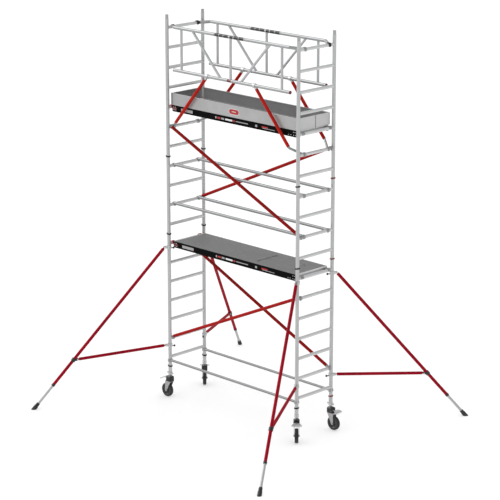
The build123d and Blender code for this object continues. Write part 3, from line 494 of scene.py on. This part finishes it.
def rounded(shape, width, segments=2):
    """Bevel of the sharp edges, after flat faces are made whole."""
    bmesh.ops.recalc_face_normals(shape, faces=shape.faces)
    bmesh.ops.dissolve_limit(shape, angle_limit=FLAT_ANGLE, verts=shape.verts, edges=shape.edges)
    edges = [e for e in shape.edges if len(e.link_faces) == 2 and e.calc_face_angle(0) > BEVEL_ANGLE]
    if edges:
        bmesh.ops.bevel(shape, geom=edges, offset=width, segments=segments, affect="EDGES", clamp_overlap=True)
    return shape


def linked(name, data):
    """New object in the scene."""
    made = bpy.data.objects.new(name, data)
    bpy.context.scene.collection.objects.link(made)
    return made


def piece(name, shape, look, body, replaces=()):
    """New named object from a bmesh, on a body, with a material."""
    bmesh.ops.recalc_face_normals(shape, faces=shape.faces)
    mesh = bpy.data.meshes.new(name)
    shape.to_mesh(mesh)
    shape.free()
    mesh.polygons.foreach_set("use_smooth", [True] * len(mesh.polygons))
    mesh.set_sharp_from_angle(angle=SMOOTH_ANGLE)
    made = linked(name, mesh)
    for one in look if isinstance(look, (list, tuple)) else [look]:
        mesh.materials.append(MATERIALS[one])
    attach(made, body)
    if replaces:
        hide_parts(*replaces)
    return made


def dress(look, *names):
    """A better material for CAD nodes whose shape stays."""
    for name in names:
        data = frame["nodes"][name].data
        data.materials.clear()
        data.materials.append(MATERIALS[look])


def solids(name):
    """The solids of a CAD node as bmeshes with their centres and sizes, in order of place."""
    source = bmesh.new()
    source.from_mesh(frame["nodes"][name].data)
    bmesh.ops.remove_doubles(source, verts=source.verts, dist=SAME_PLACE)
    source.verts.index_update()
    seen = set()
    made = []
    for start in source.verts:
        if start.index in seen:
            continue
        seen.add(start.index)
        queue, members = [start], []
        while queue:
            vert = queue.pop()
            members.append(vert)
            for edge in vert.link_edges:
                other = edge.other_vert(vert)
                if other.index not in seen:
                    seen.add(other.index)
                    queue.append(other)
        shape = bmesh.new()
        copies = {vert.index: shape.verts.new(vert.co) for vert in members}
        for face in dict.fromkeys(face for vert in members for face in vert.link_faces):
            corners = [copies[vert.index] for vert in face.verts]
            if len(set(corners)) > 2 and shape.faces.get(corners) is None:
                shape.faces.new(corners)
        low = Vector(map(min, zip(*(vert.co for vert in members))))
        high = Vector(map(max, zip(*(vert.co for vert in members))))
        made.append((shape, (low + high) / 2, high - low))
    source.free()
    return sorted(made, key=lambda item: tuple(round(c, 2) for c in item[1]))


def side_name(centre):
    """Front or rear and left or right of a place."""
    return ("front" if centre.y < 0 else "rear") + "_" + ("left" if centre.x < 0 else "right")


def hexagon_bolt(radius, height):
    """Hexagon head with chamfered corners, standing on Z = 0."""
    top = radius * 0.86
    head = prism(circle(radius, 6), 0, height * 0.82)
    cap = lathe([(0, height * 0.8), (top, height * 0.8), (top * 0.92, height), (0, height)], 24)
    return joined(rounded(head, radius * 0.06, 1), cap)


def studs(name, radius, height, places, look="cast", body="tower"):
    """Low rivet or screw heads at several places, each given by a matrix."""
    sunk = -0.4 * MM
    profile = [(0, sunk), (radius, sunk), (radius, height * 0.25), (radius * 0.72, height * 0.8), (0, height)]
    piece(name, joined(*(moved(lathe(profile, 16), place) for place in places)), look, body)


def facing(direction, place):
    """Matrix that puts Z = 0 shapes on a face that looks along a direction."""
    return Matrix.Translation(place) @ Vector(direction).to_track_quat("Z", "Y").to_matrix().to_4x4()


# ---- Tower: end frames, welds, spigots, clips ----
def saddle(centre, radius, direction, big_axis, big_radius, bead):
    """Weld bead where a small tube from a point on a big tube's axis leaves the big tube."""
    centre, direction, big = Vector(centre), Vector(direction).normalized(), Vector(big_axis).normalized()
    first = direction.orthogonal().normalized()
    second = direction.cross(first)
    steps = 40
    points = []
    for x, y in circle(1, steps):
        start = centre + (first * x + second * y) * radius
        away = start - centre
        flat = away - big * away.dot(big)
        slope = direction - big * direction.dot(big)
        a, b, c = slope.dot(slope), 2 * slope.dot(flat), flat.dot(flat) - big_radius**2
        root = sqrt(max(0.0, b * b - 4 * a * c))
        points.append(start + direction * ((-b + root) / (2 * a)))
    radii = [bead * (1 + 0.16 * sin(i * tau * 13 / steps)) for i in range(steps)]
    return sweep(points, radii, 8, True)


def frame_welds():
    """Beads where the rungs meet the uprights."""
    for level in LEVELS:
        for side, _ in SIDES:
            name = f"frame_{level}_{side}"
            low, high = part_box(name)
            x = (low.x + high.x) / 2
            beads = []
            for step in range(RUNG_COUNT[level]):
                z = low.z + FIRST_RUNG + RUNG_PITCH * step
                for end in (-1, 1):
                    beads.append(saddle((x, end * HALF_Y, z), RUNG_R, (0, -end, 0), (0, 0, 1), POST_R, WELD_RUNG))
            piece(f"{name}_welds", joined(*beads), "weld", "tower")


def locking_clips():
    """Wire clips at the foot of each upright; those of the rear right corner are red."""
    for index, (shape, centre, _) in enumerate(solids("locking_clips")):
        corner = side_name(centre)
        sx, sy = (1 if c > 0 else -1 for c in centre.xy)
        place = shift(sx * HALF_X, sy * HALF_Y, centre.z + CLIP_COIL) @ spin(-sx * CLIP_TILT, "Y")
        coil = moved(sweep([(x, y, 0) for x, y in circle(CLIP_R, 40)], CLIP_WIRE, 10, True), place)
        piece(f"locking_clip_{corner}_{index:02d}", joined(shape, coil),
              "dark_red" if corner == "rear_right" else "black_steel", "tower",
              replaces=("locking_clips",))


def guardrail_welds():
    """Beads where the guardrails' uprights and brackets meet the rails."""
    for name, y in RAILS:
        beads = []
        lines = [(x, x) for x in UPRIGHT_X] + [(sx * BRACKET_LOW_X, sx * BRACKET_TOP_X) for _, sx in SIDES]
        for low_x, high_x in lines:
            low, high = Vector((low_x, y, RAIL_LOW_Z)), Vector((high_x, y, RAIL_TOP_Z))
            for start, end in ((low, high), (high, low)):
                beads.append(saddle(start, UPRIGHT_R, end - start, (1, 0, 0), RAIL_R, WELD_RAIL))
        piece(f"guardrail_{name}_welds", joined(*beads), "weld", "tower")


def wrap(x0, x1, y, z):
    """Thin printed band round a rail along X."""
    long, edge = x1 - x0, 0.2 * MM
    inner, outer = RAIL_R + BAND_GAP, RAIL_R + BAND_GAP * 3
    band = lathe([(inner, 0), (outer, edge), (outer, long - edge), (inner, long)], 40)
    return moved(band, shift(x0, y, z) @ spin(pi / 2, "Y"))


def rail_marks():
    """Plain bands on the rails, where the real ones are labelled."""
    for name, y in RAILS:
        bands = [wrap(x0, x1, y, RAIL_TOP_Z) for x0, x1 in BAND_SPANS]
        piece(f"rail_band_{name}", joined(*bands), "sticker_dark", "tower")
        for index, x in enumerate((-0.31, 0.28)):
            band = wrap(x - 0.008, x + 0.008, y, RAIL_TOP_Z)
            piece(f"rail_band_{name}_edge_{index}", band, "sticker_light", "tower")
    piece("rail_band_red", wrap(-0.05, 0.02, -RAIL_Y, RAIL_LOW_Z), "sticker_dull_red", "tower")


def rail_caps():
    """Rounded plugs in the open ends of the lower rails."""
    rim, plug, face = RAIL_R + 1.4 * MM, RAIL_R - 2.3 * MM, 8 * MM
    low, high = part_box("rail_end_caps")
    profile = [
        (0, -0.024), (plug, -0.024), (plug, 0), (rim, 0), (rim, 0.004), (rim - 1.2 * MM, 0.0066),
        (rim - 4 * MM, face), (0, face),
    ]
    for look, sx, end in (("cast", -1, low.x), ("dark_red", 1, high.x)):
        for sy in (-1, 1):
            place = facing((sx, 0, 0), (end - sx * face, sy * RAIL_Y, RAIL_LOW_Z))
            piece("rail_cap_" + side_name(Vector((sx, sy, 0))), moved(lathe(profile, 40), place), look, "tower",
                  replaces=("rail_end_caps",))


def claws():
    """Brace claws and guardrail fittings, softened at their edges."""
    for node_name, width in (("brace_claws", 0.0014), ("guardrail_fittings", 0.0012)):
        for index, (shape, centre, _) in enumerate(solids(node_name)):
            if node_name == "brace_claws":
                kind, look = "brace_claw", "cast"
            elif centre.z > HOOKS_ABOVE:
                kind, look = "rail_hook", "cast" if centre.x > 0 > centre.y else "dark_cast"
            elif centre.z > KNUCKLES_ABOVE:
                kind, look = "arm_knuckle", "bright_cast"
            else:
                kind, look = "arm_claw", "cast"
            piece(f"{kind}_{side_name(centre)}_{index:02d}", rounded(shape, width), look, "tower",
                  replaces=(node_name,))


def diagonal_braces():
    """Red diagonals; the ones that fall towards the right carry a darker red, painted shade."""
    for index, (shape, centre, _) in enumerate(solids("diagonal_braces")):
        foot_x = min(shape.verts, key=lambda vert: vert.co.z).co.x
        piece(f"diagonal_brace_{index}", shape, "deep_red" if foot_x > centre.x else "red", "tower",
              replaces=("diagonal_braces",))


# ---- Platforms ----
HATCH_SCREW_X = 384 * MM
LEAF_SCREW_X = 337 * MM
LEAF_TOP = 2 * MM
TRIM_HALF_Y = 296 * MM
TRIM_IN = 12 * MM
TRIM_OUT = 3.2 * MM
TRIM_LIP = 16 * MM
TRIM_TOP = 1.4 * MM
LATCH_IN_X = 40 * MM
LATCH_IN_Y = 0.0295
LATCH_DROP = 2 * MM


def decks():
    """Deck boards, hinge leaves and hatches."""
    for name, top in DECK_TOP.items():
        deck, hatch = f"{name}_deck", f"{name}_hatch"
        for index, (shape, _, size) in enumerate(solids(deck)):
            if size.x > 1:
                piece(f"{deck}_board", rounded(shape, 0.0008, 1), "deck", "tower", replaces=(deck,))
            else:
                piece(f"{deck}_hinge_leaf_{index}", rounded(shape, 0.0004, 1), "deck", "tower",
                      replaces=(deck,))
        for shape, _, _ in solids(hatch):
            piece(f"{hatch}_lid", rounded(shape, 0.0004, 1), "deck", f"{hatch}_panel", replaces=(hatch,))
        deck_details(deck, hatch, f"{hatch}_panel", top)


def deck_details(deck, hatch, panel, top):
    """Rivets along the deck's edges and hinge leaves, end trims, and the hatch's ring and latch."""
    pitch, edge_y, end_x = 0.195, 0.288, 1.172
    places = [((i - 6) * pitch, y) for y in (-edge_y, edge_y) for i in range(13)]
    places += [(x, y) for x in (-end_x, end_x) for y in (-0.2, -0.07, 0.07, 0.2)]
    studs(f"{deck}_rivets", 0.0048, 0.0016, [shift(x, y, top) for x, y in places])
    for name, x, rows, body in (
        (f"{hatch}_screws", HATCH_SCREW_X, (-0.180, 0.0, 0.180), panel),
        (f"{deck}_hinge_screws", LEAF_SCREW_X, (-0.1386, 0.1386), "tower"),
    ):
        places = [shift(x, y + dy, top + LEAF_TOP) for y in rows for dy in (-0.011, 0.011)]
        studs(name, 0.0034, 0.0014, places, body=body)
    for side, sx in SIDES:
        cap = brick(-TRIM_IN, TRIM_OUT, -TRIM_HALF_Y, TRIM_HALF_Y, 0.0, TRIM_TOP)
        lip = brick(0.0, TRIM_OUT, -TRIM_HALF_Y, TRIM_HALF_Y, -TRIM_LIP, TRIM_TOP)
        place = shift(sx * DECK_HALF_X, 0, top) @ spin(0 if sx > 0 else pi, "Z")
        piece(f"{deck}_trim_{side}", moved(joined(cap, lip), place), "trim", "tower")
    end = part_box(hatch)[1].x
    ring = lathe([
        (0.0142, -0.0008), (0.0142, 0.0002), (0.0185, 0.0002), (0.0195, 0.0010), (0.0185, 0.0014), (0.0132, 0.0014),
        (0.0132, -0.0008),
    ], 32)
    piece(f"{hatch}_finger_ring", moved(ring, shift(end - 0.060, 0, top)), "black_plastic", panel)
    latch = rounded(brick(-0.017, 0.017, -0.0075, 0.0075, 0, 0.003), 0.001)
    piece(f"{hatch}_latch", moved(latch, shift(end - 0.02, 0.115, top + 0.0002)), "black_plastic", panel)


def side_beams():
    """Pressed lines, rivets and marks on the beams; the beams themselves are CAD."""
    for name, top in DECK_TOP.items():
        for side, sy in (("front", -1), ("rear", 1)):
            face = BEAM_FACE_Y * sy
            ribs = []
            for z in (top - 0.084, top - 0.006):
                rib = rounded(brick(-BEAM_HALF_X, BEAM_HALF_X, -0.0011, 0.0002, -0.0035, 0.0035), 0.0008, 1)
                ribs.append(moved(rib, shift(0, face, z) @ spin(0 if sy < 0 else pi, "Z")))
            piece(f"{name}_beam_{side}_ribs", joined(*ribs), "black_beam", "tower")
            high, low = top - 0.026, top - 0.066
            rows = ((-1.165, (high, low)), (-1.135, (high, low)), (1.045, (low,)), (1.085, (low,)),
                    (1.135, (high, low)), (1.165, (high, low)))
            places = [facing((0, sy, 0), (x, face, z)) for x, levels in rows for z in levels]
            studs(f"{name}_beam_{side}_rivets", 0.0062, 0.0022, places, "zinc")
        mark_beam(f"{name}_beam", top)


def mark_beam(beam, top):
    """Plain rounded patches in the places of labels; heights are below the deck."""
    for kind, look, x0, x1, low, high in (
        ("end_patch", "sticker_dull_red", -1.185, -1.105, 0.070, 0.030),
        ("panel", "sticker_light", -1.015, -0.785, 0.066, 0.026),
        ("bar_0", "sticker_light", -0.34, -0.315, 0.060, 0.032),
        ("bar_1", "sticker_red", -0.300, -0.240, 0.059, 0.033),
        ("bar_2", "sticker_light", -0.225, -0.165, 0.059, 0.033),
        ("bar_3", "sticker_white", -0.145, -0.010, 0.058, 0.034),
        ("bar_4", "sticker_red", 0.005, 0.040, 0.058, 0.034),
        ("bar_5", "sticker_light", 0.055, 0.290, 0.052, 0.040),
        ("spot", "sticker_light", 0.425, 0.462, 0.061, 0.031),
        ("red_bar", "sticker_red", 0.545, 0.660, 0.052, 0.033),
        ("grey_bar", "sticker_light", 0.560, 0.790, 0.063, 0.055),
    ):
        z0, z1 = top - low, top - high
        r = min(0.004, (x1 - x0) * 0.3, (z1 - z0) * 0.3)
        points = []
        for turn, (x, z) in enumerate(((x1 - r, z1 - r), (x0 + r, z1 - r), (x0 + r, z0 + r), (x1 - r, z0 + r))):
            angles = [(turn + i / 4) * pi / 2 for i in range(5)]
            points += [(x + r * cos(angle), z + r * sin(angle)) for angle in angles]
        piece(f"{beam}_{kind}", moved(prism(points, -0.0001, 0.0005), label_place(0, -BEAM_FACE_Y, 0)), look, "tower")


def label_place(x, y, z):
    """Matrix that stands a flat X-Y shape up on a face that looks along -Y."""
    return Matrix(((1, 0, 0, x), (0, 0, -1, y), (0, 1, 0, z), (0, 0, 0, 1)))


def platform_hooks():
    """Hooks: red with a black latch on the left, grey with a dark red latch on the right."""
    for index, (shape, centre, _) in enumerate(solids("platform_hooks")):
        sx = -1 if centre.x < 0 else 1
        if sx < 0:
            look, slot, latch_look = "hook_red", "hook_red", "black_plastic"
        else:
            look, slot, latch_look = "cast", "grey_cast", "dark_red"
        name = f"{side_name(centre)}_{index:02d}"
        piece(f"platform_hook_{name}", rounded(shape, 0.0015), look, "tower", replaces=("platform_hooks",))
        latch = rounded(brick(-0.012, 0.012, -0.006, 0.006, -0.017, 0.017), 0.0016)
        y = centre.y - (1 if centre.y > 0 else -1) * LATCH_IN_Y
        place = shift(sx * (HALF_X - LATCH_IN_X), y, centre.z - LATCH_DROP)
        piece(f"platform_latch_{name}", moved(latch, place), latch_look, "tower")


def toe_boards():
    """Toe boards, light outside and dark inside, with rivets, joint seals and a red oval."""
    for index, (shape, centre, size) in enumerate(solids("toe_boards")):
        side = size.x > 1
        out = Vector((0, 1 if centre.y > 0 else -1, 0)) if side else Vector((1 if centre.x > 0 else -1, 0, 0))
        # The end boards take the lighter tone, painted light; the side boards take the plain one.
        made = piece(f"toe_board_{'side' if side else 'end'}_{side_name(centre)}_{index}", rounded(shape, 0.0006, 1),
                     ["toe_light" if side else "toe_end_painted_light", "toe_dark"], "tower", replaces=("toe_boards",))
        for face in made.data.polygons:
            face.material_index = int(face.normal.dot(out) < -0.5)
    levels = (TOE_LO.z + 0.03, TOE_HI.z - 0.03)
    places = [facing((sx, 0, 0), (TOE_HI.x * sx, y, z)) for _, sx in SIDES for y in (-0.27, -0.03, 0.07, 0.27)
              for z in levels]
    places += [facing((0, sy, 0), (x, sy * TOE_FACE_Y, z)) for sy in (-1, 1) for x in (-1.165, 1.165) for z in levels]
    for side, sx in SIDES:
        seal = moved(brick(-0.0006, 0.0006, 0.015, 0.024, TOE_LO.z, TOE_HI.z), shift(TOE_HI.x * sx, 0, 0))
        piece(f"toe_board_joint_seal_{side}", seal, "sticker_dark", "tower")
    studs("toe_board_rivets", 0.004, 0.0014, places, "zinc")
    middle = (TOE_LO.z + TOE_HI.z) / 2
    for name, look, half_long, half_high, depth in (
        ("oval_label_edge", "sticker_white", 0.098, 0.040, 0.0006),
        ("oval_label", "sticker_red", 0.092, 0.034, 0.0009),
        ("oval_label_bar", "sticker_white", 0.040, 0.004, 0.0012),
    ):
        straight = half_long - half_high
        points = [(x + (straight if x > 0 else -straight), y) for x, y in circle(half_high, 48)]
        place = label_place(0.02, -TOE_FACE_Y, middle - 0.004)
        piece(name, moved(prism(points, -0.0001, depth), place), look, "tower")


# ---- Stabilisers, in the plane X-Z with the upright on the Z axis ----
KNOB_X = -65 * MM
KNOBS_BEHIND = -30 * MM
COLLAR_BEYOND = 0.3
GUIDE_BEYOND = 1.55
BOLT_MOST = 60 * MM
FOOT_R = 30 * MM
FOOT_BORE = 19 * MM
FOOT_REACH = 1960 * MM
FOOT_HIGH = 30 * MM


def corner_matrix(place, direction):
    """Frame at a corner's upright with X along a level direction."""
    return shift(place[0], place[1], 0) @ spin(atan2(direction[1], direction[0]), "Z")


def knob(radius, high):
    """Hand knob with eight flutes."""
    made = bmesh.new()
    rings = []
    steps = 64
    for scale, z in ((0.80, -0.5), (0.96, -0.44), (1.0, -0.3), (1.0, 0.3), (0.96, 0.44), (0.80, 0.5)):
        ring = []
        for x, y in circle(1, steps):
            turn = atan2(y, x)
            r = radius * scale * (1 - 0.09 * (0.5 + 0.5 * cos(8 * turn)) ** 2)
            ring.append(made.verts.new((r * x, r * y, z * high)))
        rings.append(ring)
    return skinned(made, zip(rings, rings[1:]), (rings[0], rings[-1]))


def stabiliser(corner):
    """Fittings of one stabiliser and its rubber foot."""
    base = f"stabiliser_{corner}"
    down = Vector(JOINTS[f"{base}_extend"]["axis"]).normalized()
    matrix = corner_matrix(JOINTS[f"{base}_turn"]["pos_m"], down)
    inverse = matrix.inverted()
    swing, clamps = f"{base}_swing", f"{base}_clamps"
    for index, (shape, centre, size) in enumerate(solids(clamps)):
        local = inverse @ centre
        if local.x < KNOBS_BEHIND:
            shape.free()
            stem = moved(rod(0.006, 0, 0.019), shift(-0.034, 0, local.z) @ spin(-pi / 2, "Y"))
            grip = moved(knob(0.013, 0.026), shift(KNOB_X, 0, local.z))
            cap = moved(lathe([(0, 0.012), (0.007, 0.012), (0.006, 0.0136), (0, 0.0138)], 24),
                        shift(KNOB_X, 0, local.z))
            level = "top" if local.z > 1.5 else "low"
            piece(f"{base}_knob_{level}", moved(joined(stem, grip, cap), matrix), "black_plastic", swing,
                  replaces=(clamps,))
            continue
        if local.x > GUIDE_BEYOND:
            kind, look = "guide_sleeve", "black_plastic"
        elif max(size) < BOLT_MOST and abs(local.y) < 0.002 and local.x > 0.05:
            kind, look = "pivot_bolt", "zinc"
        elif local.x > COLLAR_BEYOND:
            kind, look = "collar", "black_plastic"
        else:
            kind, look = "coupler", "bright_cast"
        piece(f"{base}_{kind}_{index:02d}", rounded(shape, 0.0012), look, swing, replaces=(clamps,))
    foot(f"{base}_foot", matrix, Vector((hypot(down.x, down.y), 0, down.z)), f"{base}_slider")


def foot(name, matrix, axis, body):
    """Ringed rubber foot, cut flat on the ground."""
    shape = lathe([
        (FOOT_BORE, -0.074), (0.0222, -0.074), (0.0235, -0.0725), (0.0235, -0.060), (0.0262, -0.057),
        (0.0262, -0.050), (0.0238, -0.048), (0.0238, -0.043), (0.0268, -0.041), (0.0268, -0.033), (0.0245, -0.031),
        (0.0245, -0.026), (FOOT_R - 0.001, -0.020), (FOOT_R, -0.018), (FOOT_R, 0.06), (0, 0.06), (0, -0.028),
        (FOOT_BORE, -0.028),
    ])
    moved(shape, facing(axis, (FOOT_REACH, 0, FOOT_HIGH)))
    cut = bmesh.ops.bisect_plane(shape, geom=shape.verts[:] + shape.edges[:] + shape.faces[:], dist=1e-6,
                                 plane_co=(0, 0, 0), plane_no=(0, 0, -1), clear_outer=True)
    edges = [e for e in cut["geom_cut"] if isinstance(e, bmesh.types.BMEdge)]
    bmesh.ops.holes_fill(shape, edges=edges)
    piece(f"{name}_rubber", moved(shape, matrix), "rubber", body, replaces=(name,))


# ---- Castors, with the spindle on the Z axis and the wheel trailing along +X ----
def tyre():
    """Tyre section with sidewall rings and a shallow centre groove, turned about Z."""
    half = [
        (0.0742, 0.0205), (0.0760, 0.0228), (0.0800, 0.0240), (0.0822, 0.0232), (0.0836, 0.0232), (0.0858, 0.0243),
        (0.0885, 0.0245), (0.0900, 0.0236), (0.0914, 0.0236), (0.0930, 0.0240), (0.0962, 0.0222), (0.0984, 0.0190),
        (0.0996, 0.0140), (0.1000, 0.0090), (0.1000, 0.0024), (0.0990, 0.0012),
    ]
    return lathe(half + [(r, -z) for r, z in reversed(half)], 96)


def wheel_core():
    """Wheel centre: rim, dished web with ribs, hub and bearing caps, turned about Z."""
    rim, inner, web, hub, face = 0.0738, 0.0650, 0.0060, 0.0235, 0.0288
    half = [
        (rim, 0.0205), (rim - 0.0012, 0.0218), (inner + 0.0012, 0.0218), (inner, 0.0205), (inner - 0.0012, web + 0.004),
        (inner - 0.005, web), (hub + 0.006, web), (hub + 0.0015, web + 0.0035), (hub, web + 0.008),
        (hub - 0.0006, face - 0.0015), (hub - 0.0022, face), (0.0135, face), (0.0125, face - 0.0016),
        (0.0067, face - 0.0016),
    ]
    shapes = [lathe(half + [(r, -z) for r, z in reversed(half)], 64)]
    outline = [(hub - 0.002, -0.0022), (inner + 0.001, -0.0016), (inner + 0.001, 0.0016), (hub - 0.002, 0.0022)]
    for side in (-1, 1):
        for i in range(10):
            rib = prism(outline, web - 0.001, web + 0.0105)
            for vert in rib.verts:
                if vert.co.x > 0.05 and vert.co.z > web:
                    vert.co.z -= 0.004
            place = spin(tau * i / 10, "Z")
            if side < 0:
                place = spin(pi, "X") @ place
            shapes.append(moved(rounded(rib, 0.0006, 1), place))
    return joined(*shapes)


def threaded_spindle(z0, z1, top_bore):
    """Spindle tube with a real trapezoidal thread."""
    core, crest, bore = 0.0170, 0.0190, 0.0150
    body = lathe([
        (0, z0), (core, z0), (core, z1 - 0.0012), (core - 0.0010, z1), (bore + 0.0003, z1), (bore, z1 - 0.001),
        (bore, top_bore), (0, top_bore),
    ])
    steps, start, end = 36, z0 + 0.030, z1 - 0.016
    made = bmesh.new()
    rings = []
    total = int((end - start) / THREAD_PITCH * steps)
    for i in range(total + 1):
        turn = tau * i / steps
        z = start + THREAD_PITCH * i / steps
        grow = max(0.05, min(1.0, i / 12, (total - i) / 12))
        radius = core - 0.0003 + (crest - core + 0.0003) * grow
        section = ((core - 0.0004, -0.0042), (radius, -0.0026), (radius, 0.0026), (core - 0.0004, 0.0042))
        rings.append([made.verts.new((r * cos(turn), r * sin(turn), z + dz)) for r, dz in section])
    return joined(body, skinned(made, zip(rings, rings[1:]), (rings[0], rings[-1])))


def castor(corner):
    """One castor: wheel, fork, brake housing, pedal, spindle and wing nut."""
    base = f"castor_{corner}"
    place = JOINTS[f"{base}_swivel_turn"]["pos_m"]
    matrix = corner_matrix(place, Vector(JOINTS[f"{base}_roll"]["pos_m"]) - Vector(place))
    hub = matrix @ shift(TRAIL, 0, WHEEL_R) @ spin(pi / 2, "X")
    for kind, shape, look in (("tyre", tyre(), "tyre"), ("wheel_centre", wheel_core(), "wheel_core")):
        piece(f"{base}_{kind}", moved(shape, hub), look, f"{base}_roller", replaces=(f"{base}_wheel",))
    castor_swivel(base, matrix.inverted(), hub)
    castor_pedal(base, matrix)
    castor_spindle(base, matrix)
    for shape, _, _ in solids(f"{base}_wing_nut"):
        piece(f"{base}_nut", rounded(shape, 0.0016, 3), "bright_cast", f"{base}_nut",
              replaces=(f"{base}_wing_nut",))


def castor_swivel(base, inverse, hub):
    """Fork, axle with hexagon head and nut, brake housing and pedal pin."""
    fork = f"{base}_fork"
    for shape, centre, size in solids(fork):
        slot = "castor_steel"
        if size.z > 0.15:
            kind, look, shape = "fork_plates", "fork", rounded(shape, 0.0015)
        elif (inverse @ centre).z < 0.15:
            shape.free()
            kind, look, slot, shape = "axle", "zinc", "zinc_steel", moved(axle(), hub)
        elif size.z > 0.05:
            kind, look, shape = "brake_housing", "black_plastic", rounded(shape, 0.0022)
        else:
            kind, look, shape = "pedal_pin", "zinc", rounded(shape, 0.0006)
        piece(f"{base}_{kind}", shape, look, f"{base}_swivel", replaces=(fork,))


def axle():
    """Axle bolt along Z with washers, hexagon head and nut."""
    outer = 36 * MM
    parts = [rod(0.006, -outer, outer)]
    for turn in (pi, 0):
        flip = spin(turn, "X")
        washer = lathe([(0.0055, 0), (0.0125, 0), (0.0125, 0.0014), (0.0118, 0.0018), (0.0055, 0.0018)], 32)
        parts.append(moved(washer, flip @ shift(0, 0, outer)))
        parts.append(moved(hexagon_bolt(0.0108, 0.0060), flip @ shift(0, 0, outer + 0.0017)))
    return joined(*parts)


def castor_pedal(base, matrix):
    """Brake pedal with grip bars across its tip."""
    body, name = f"{base}_pedal", f"{base}_lever"
    for shape, _, _ in solids(name):
        piece(f"{body}_plate", rounded(shape, 0.0012), "zinc", body, replaces=(name,))
    bars = []
    radius, middle_x, middle_z = 0.062, 0.099, 0.229
    for degrees_up, half in ((22, 0.058), (33, 0.050), (44, 0.042)):
        turn = radians(degrees_up)
        x, z = middle_x + radius * cos(turn), middle_z + radius * sin(turn)
        points = [(x, y, z) for y in (-half, -half * 0.5, half * 0.5, half)]
        bars.append(sweep(points, [0.0012, 0.0020, 0.0020, 0.0012], 8))
    piece(f"{body}_grips", moved(joined(*bars), matrix), "zinc", body)


def castor_spindle(base, matrix):
    """Threaded spindle with its swivel flange and king pin."""
    name = f"{base}_spindle"
    low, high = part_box(name)
    flange = [(0, 0), (0.031, 0), (0.032, 0.001), (0.032, 0.0055), (0.0305, 0.007), (0.0225, 0.007), (0.0190, 0.012),
              (0, 0.012)]
    parts = [
        threaded_spindle(FLANGE_Z + 0.002, high.z, SPINDLE_BORE_Z),
        lathe([(r, FLANGE_Z + z) for r, z in flange]),
        rod(0.010, low.z + 0.002, FLANGE_Z + 0.001, 32),
        moved(hexagon_bolt(0.0168, 0.0142), shift(0, 0, low.z)),
    ]
    piece(f"{base}_threaded_spindle", moved(joined(*parts), matrix), "spindle", f"{base}_adjuster",
          replaces=(name,))


# ---- Build ----
dress("alloy", *(f"frame_{level}_{side}" for level in LEVELS for side, _ in SIDES))
dress("spigot", "frame_spigots")
dress("brace", "guard_braces")
dress("base_brace", "base_braces")
dress("orange", "guardrail_arms")
dress("rail", "guardrails")
dress("black_beam", "platform_side_beams")
dress("channel", "platform_cross_members")
dress("crimson", *(f"stabiliser_{corner}_tubes" for corner in CORNERS))
dress("leg", *(f"stabiliser_{corner}_leg" for corner in CORNERS))
frame_welds()
locking_clips()
diagonal_braces()
guardrail_welds()
rail_marks()
rail_caps()
claws()
decks()
side_beams()
platform_hooks()
toe_boards()
for corner_name in CORNERS:
    stabiliser(corner_name)
    castor(corner_name)


# ---- Floor, light and camera ----
def floor():
    """Pale studio floor."""
    half, z = 160, -0.5 * MM
    shape = bmesh.new()
    shape.faces.new([shape.verts.new((x * half, y * half, z)) for x, y in ((-1, -1), (1, -1), (1, 1), (-1, 1))])
    mesh = bpy.data.meshes.new("studio_floor")
    shape.to_mesh(mesh)
    shape.free()
    made = linked("studio_floor", mesh)
    look, tree, shader = new_material("floor_paper", 0.0, **{"Roughness": 0.9, "Specular IOR Level": 0.1})
    tone = toned(tree, scaled_noise(tree, 0.6, 3.0), 0.3, 0.7, (0.955,) * 3, (0.965,) * 3)
    tree.links.new(tone, shader.inputs["Base Color"])
    mesh.materials.append(look)


def aim(made, direction):
    """Turn a lamp or camera to look along a direction."""
    made.rotation_euler = Vector(direction).to_track_quat("-Z", "Y").to_euler()


def sun_light(name, direction, strength, angle):
    """Soft directional lamp."""
    data = bpy.data.lights.new(name, "SUN")
    data.energy = strength
    data.angle = radians(angle)
    data.use_shadow = False
    aim(linked(name, data), direction)


def camera():
    """Camera at the photograph's angle."""
    data = bpy.data.cameras.new("camera")
    data.lens = 149.37
    data.sensor_width = 36
    data.shift_x = 0.0024
    data.shift_y = -0.0802
    data.clip_end = 400
    made = linked("camera", data)
    made.location = (19.455, -19.515, 10.163)
    aim(made, (-0.68300, 0.68511, -0.25330))
    bpy.context.scene.camera = made


floor()
world = bpy.data.worlds.new("studio")
bpy.context.scene.world = world
world.use_nodes = True
world.node_tree.nodes["Background"].inputs["Color"].default_value = (1, 1, 1, 1)
world.node_tree.nodes["Background"].inputs["Strength"].default_value = 0.76
bpy.context.scene.view_settings.view_transform = "Standard"
sun_light("key", (0.76, 0.34, -0.62), 2.0, 25)
camera()
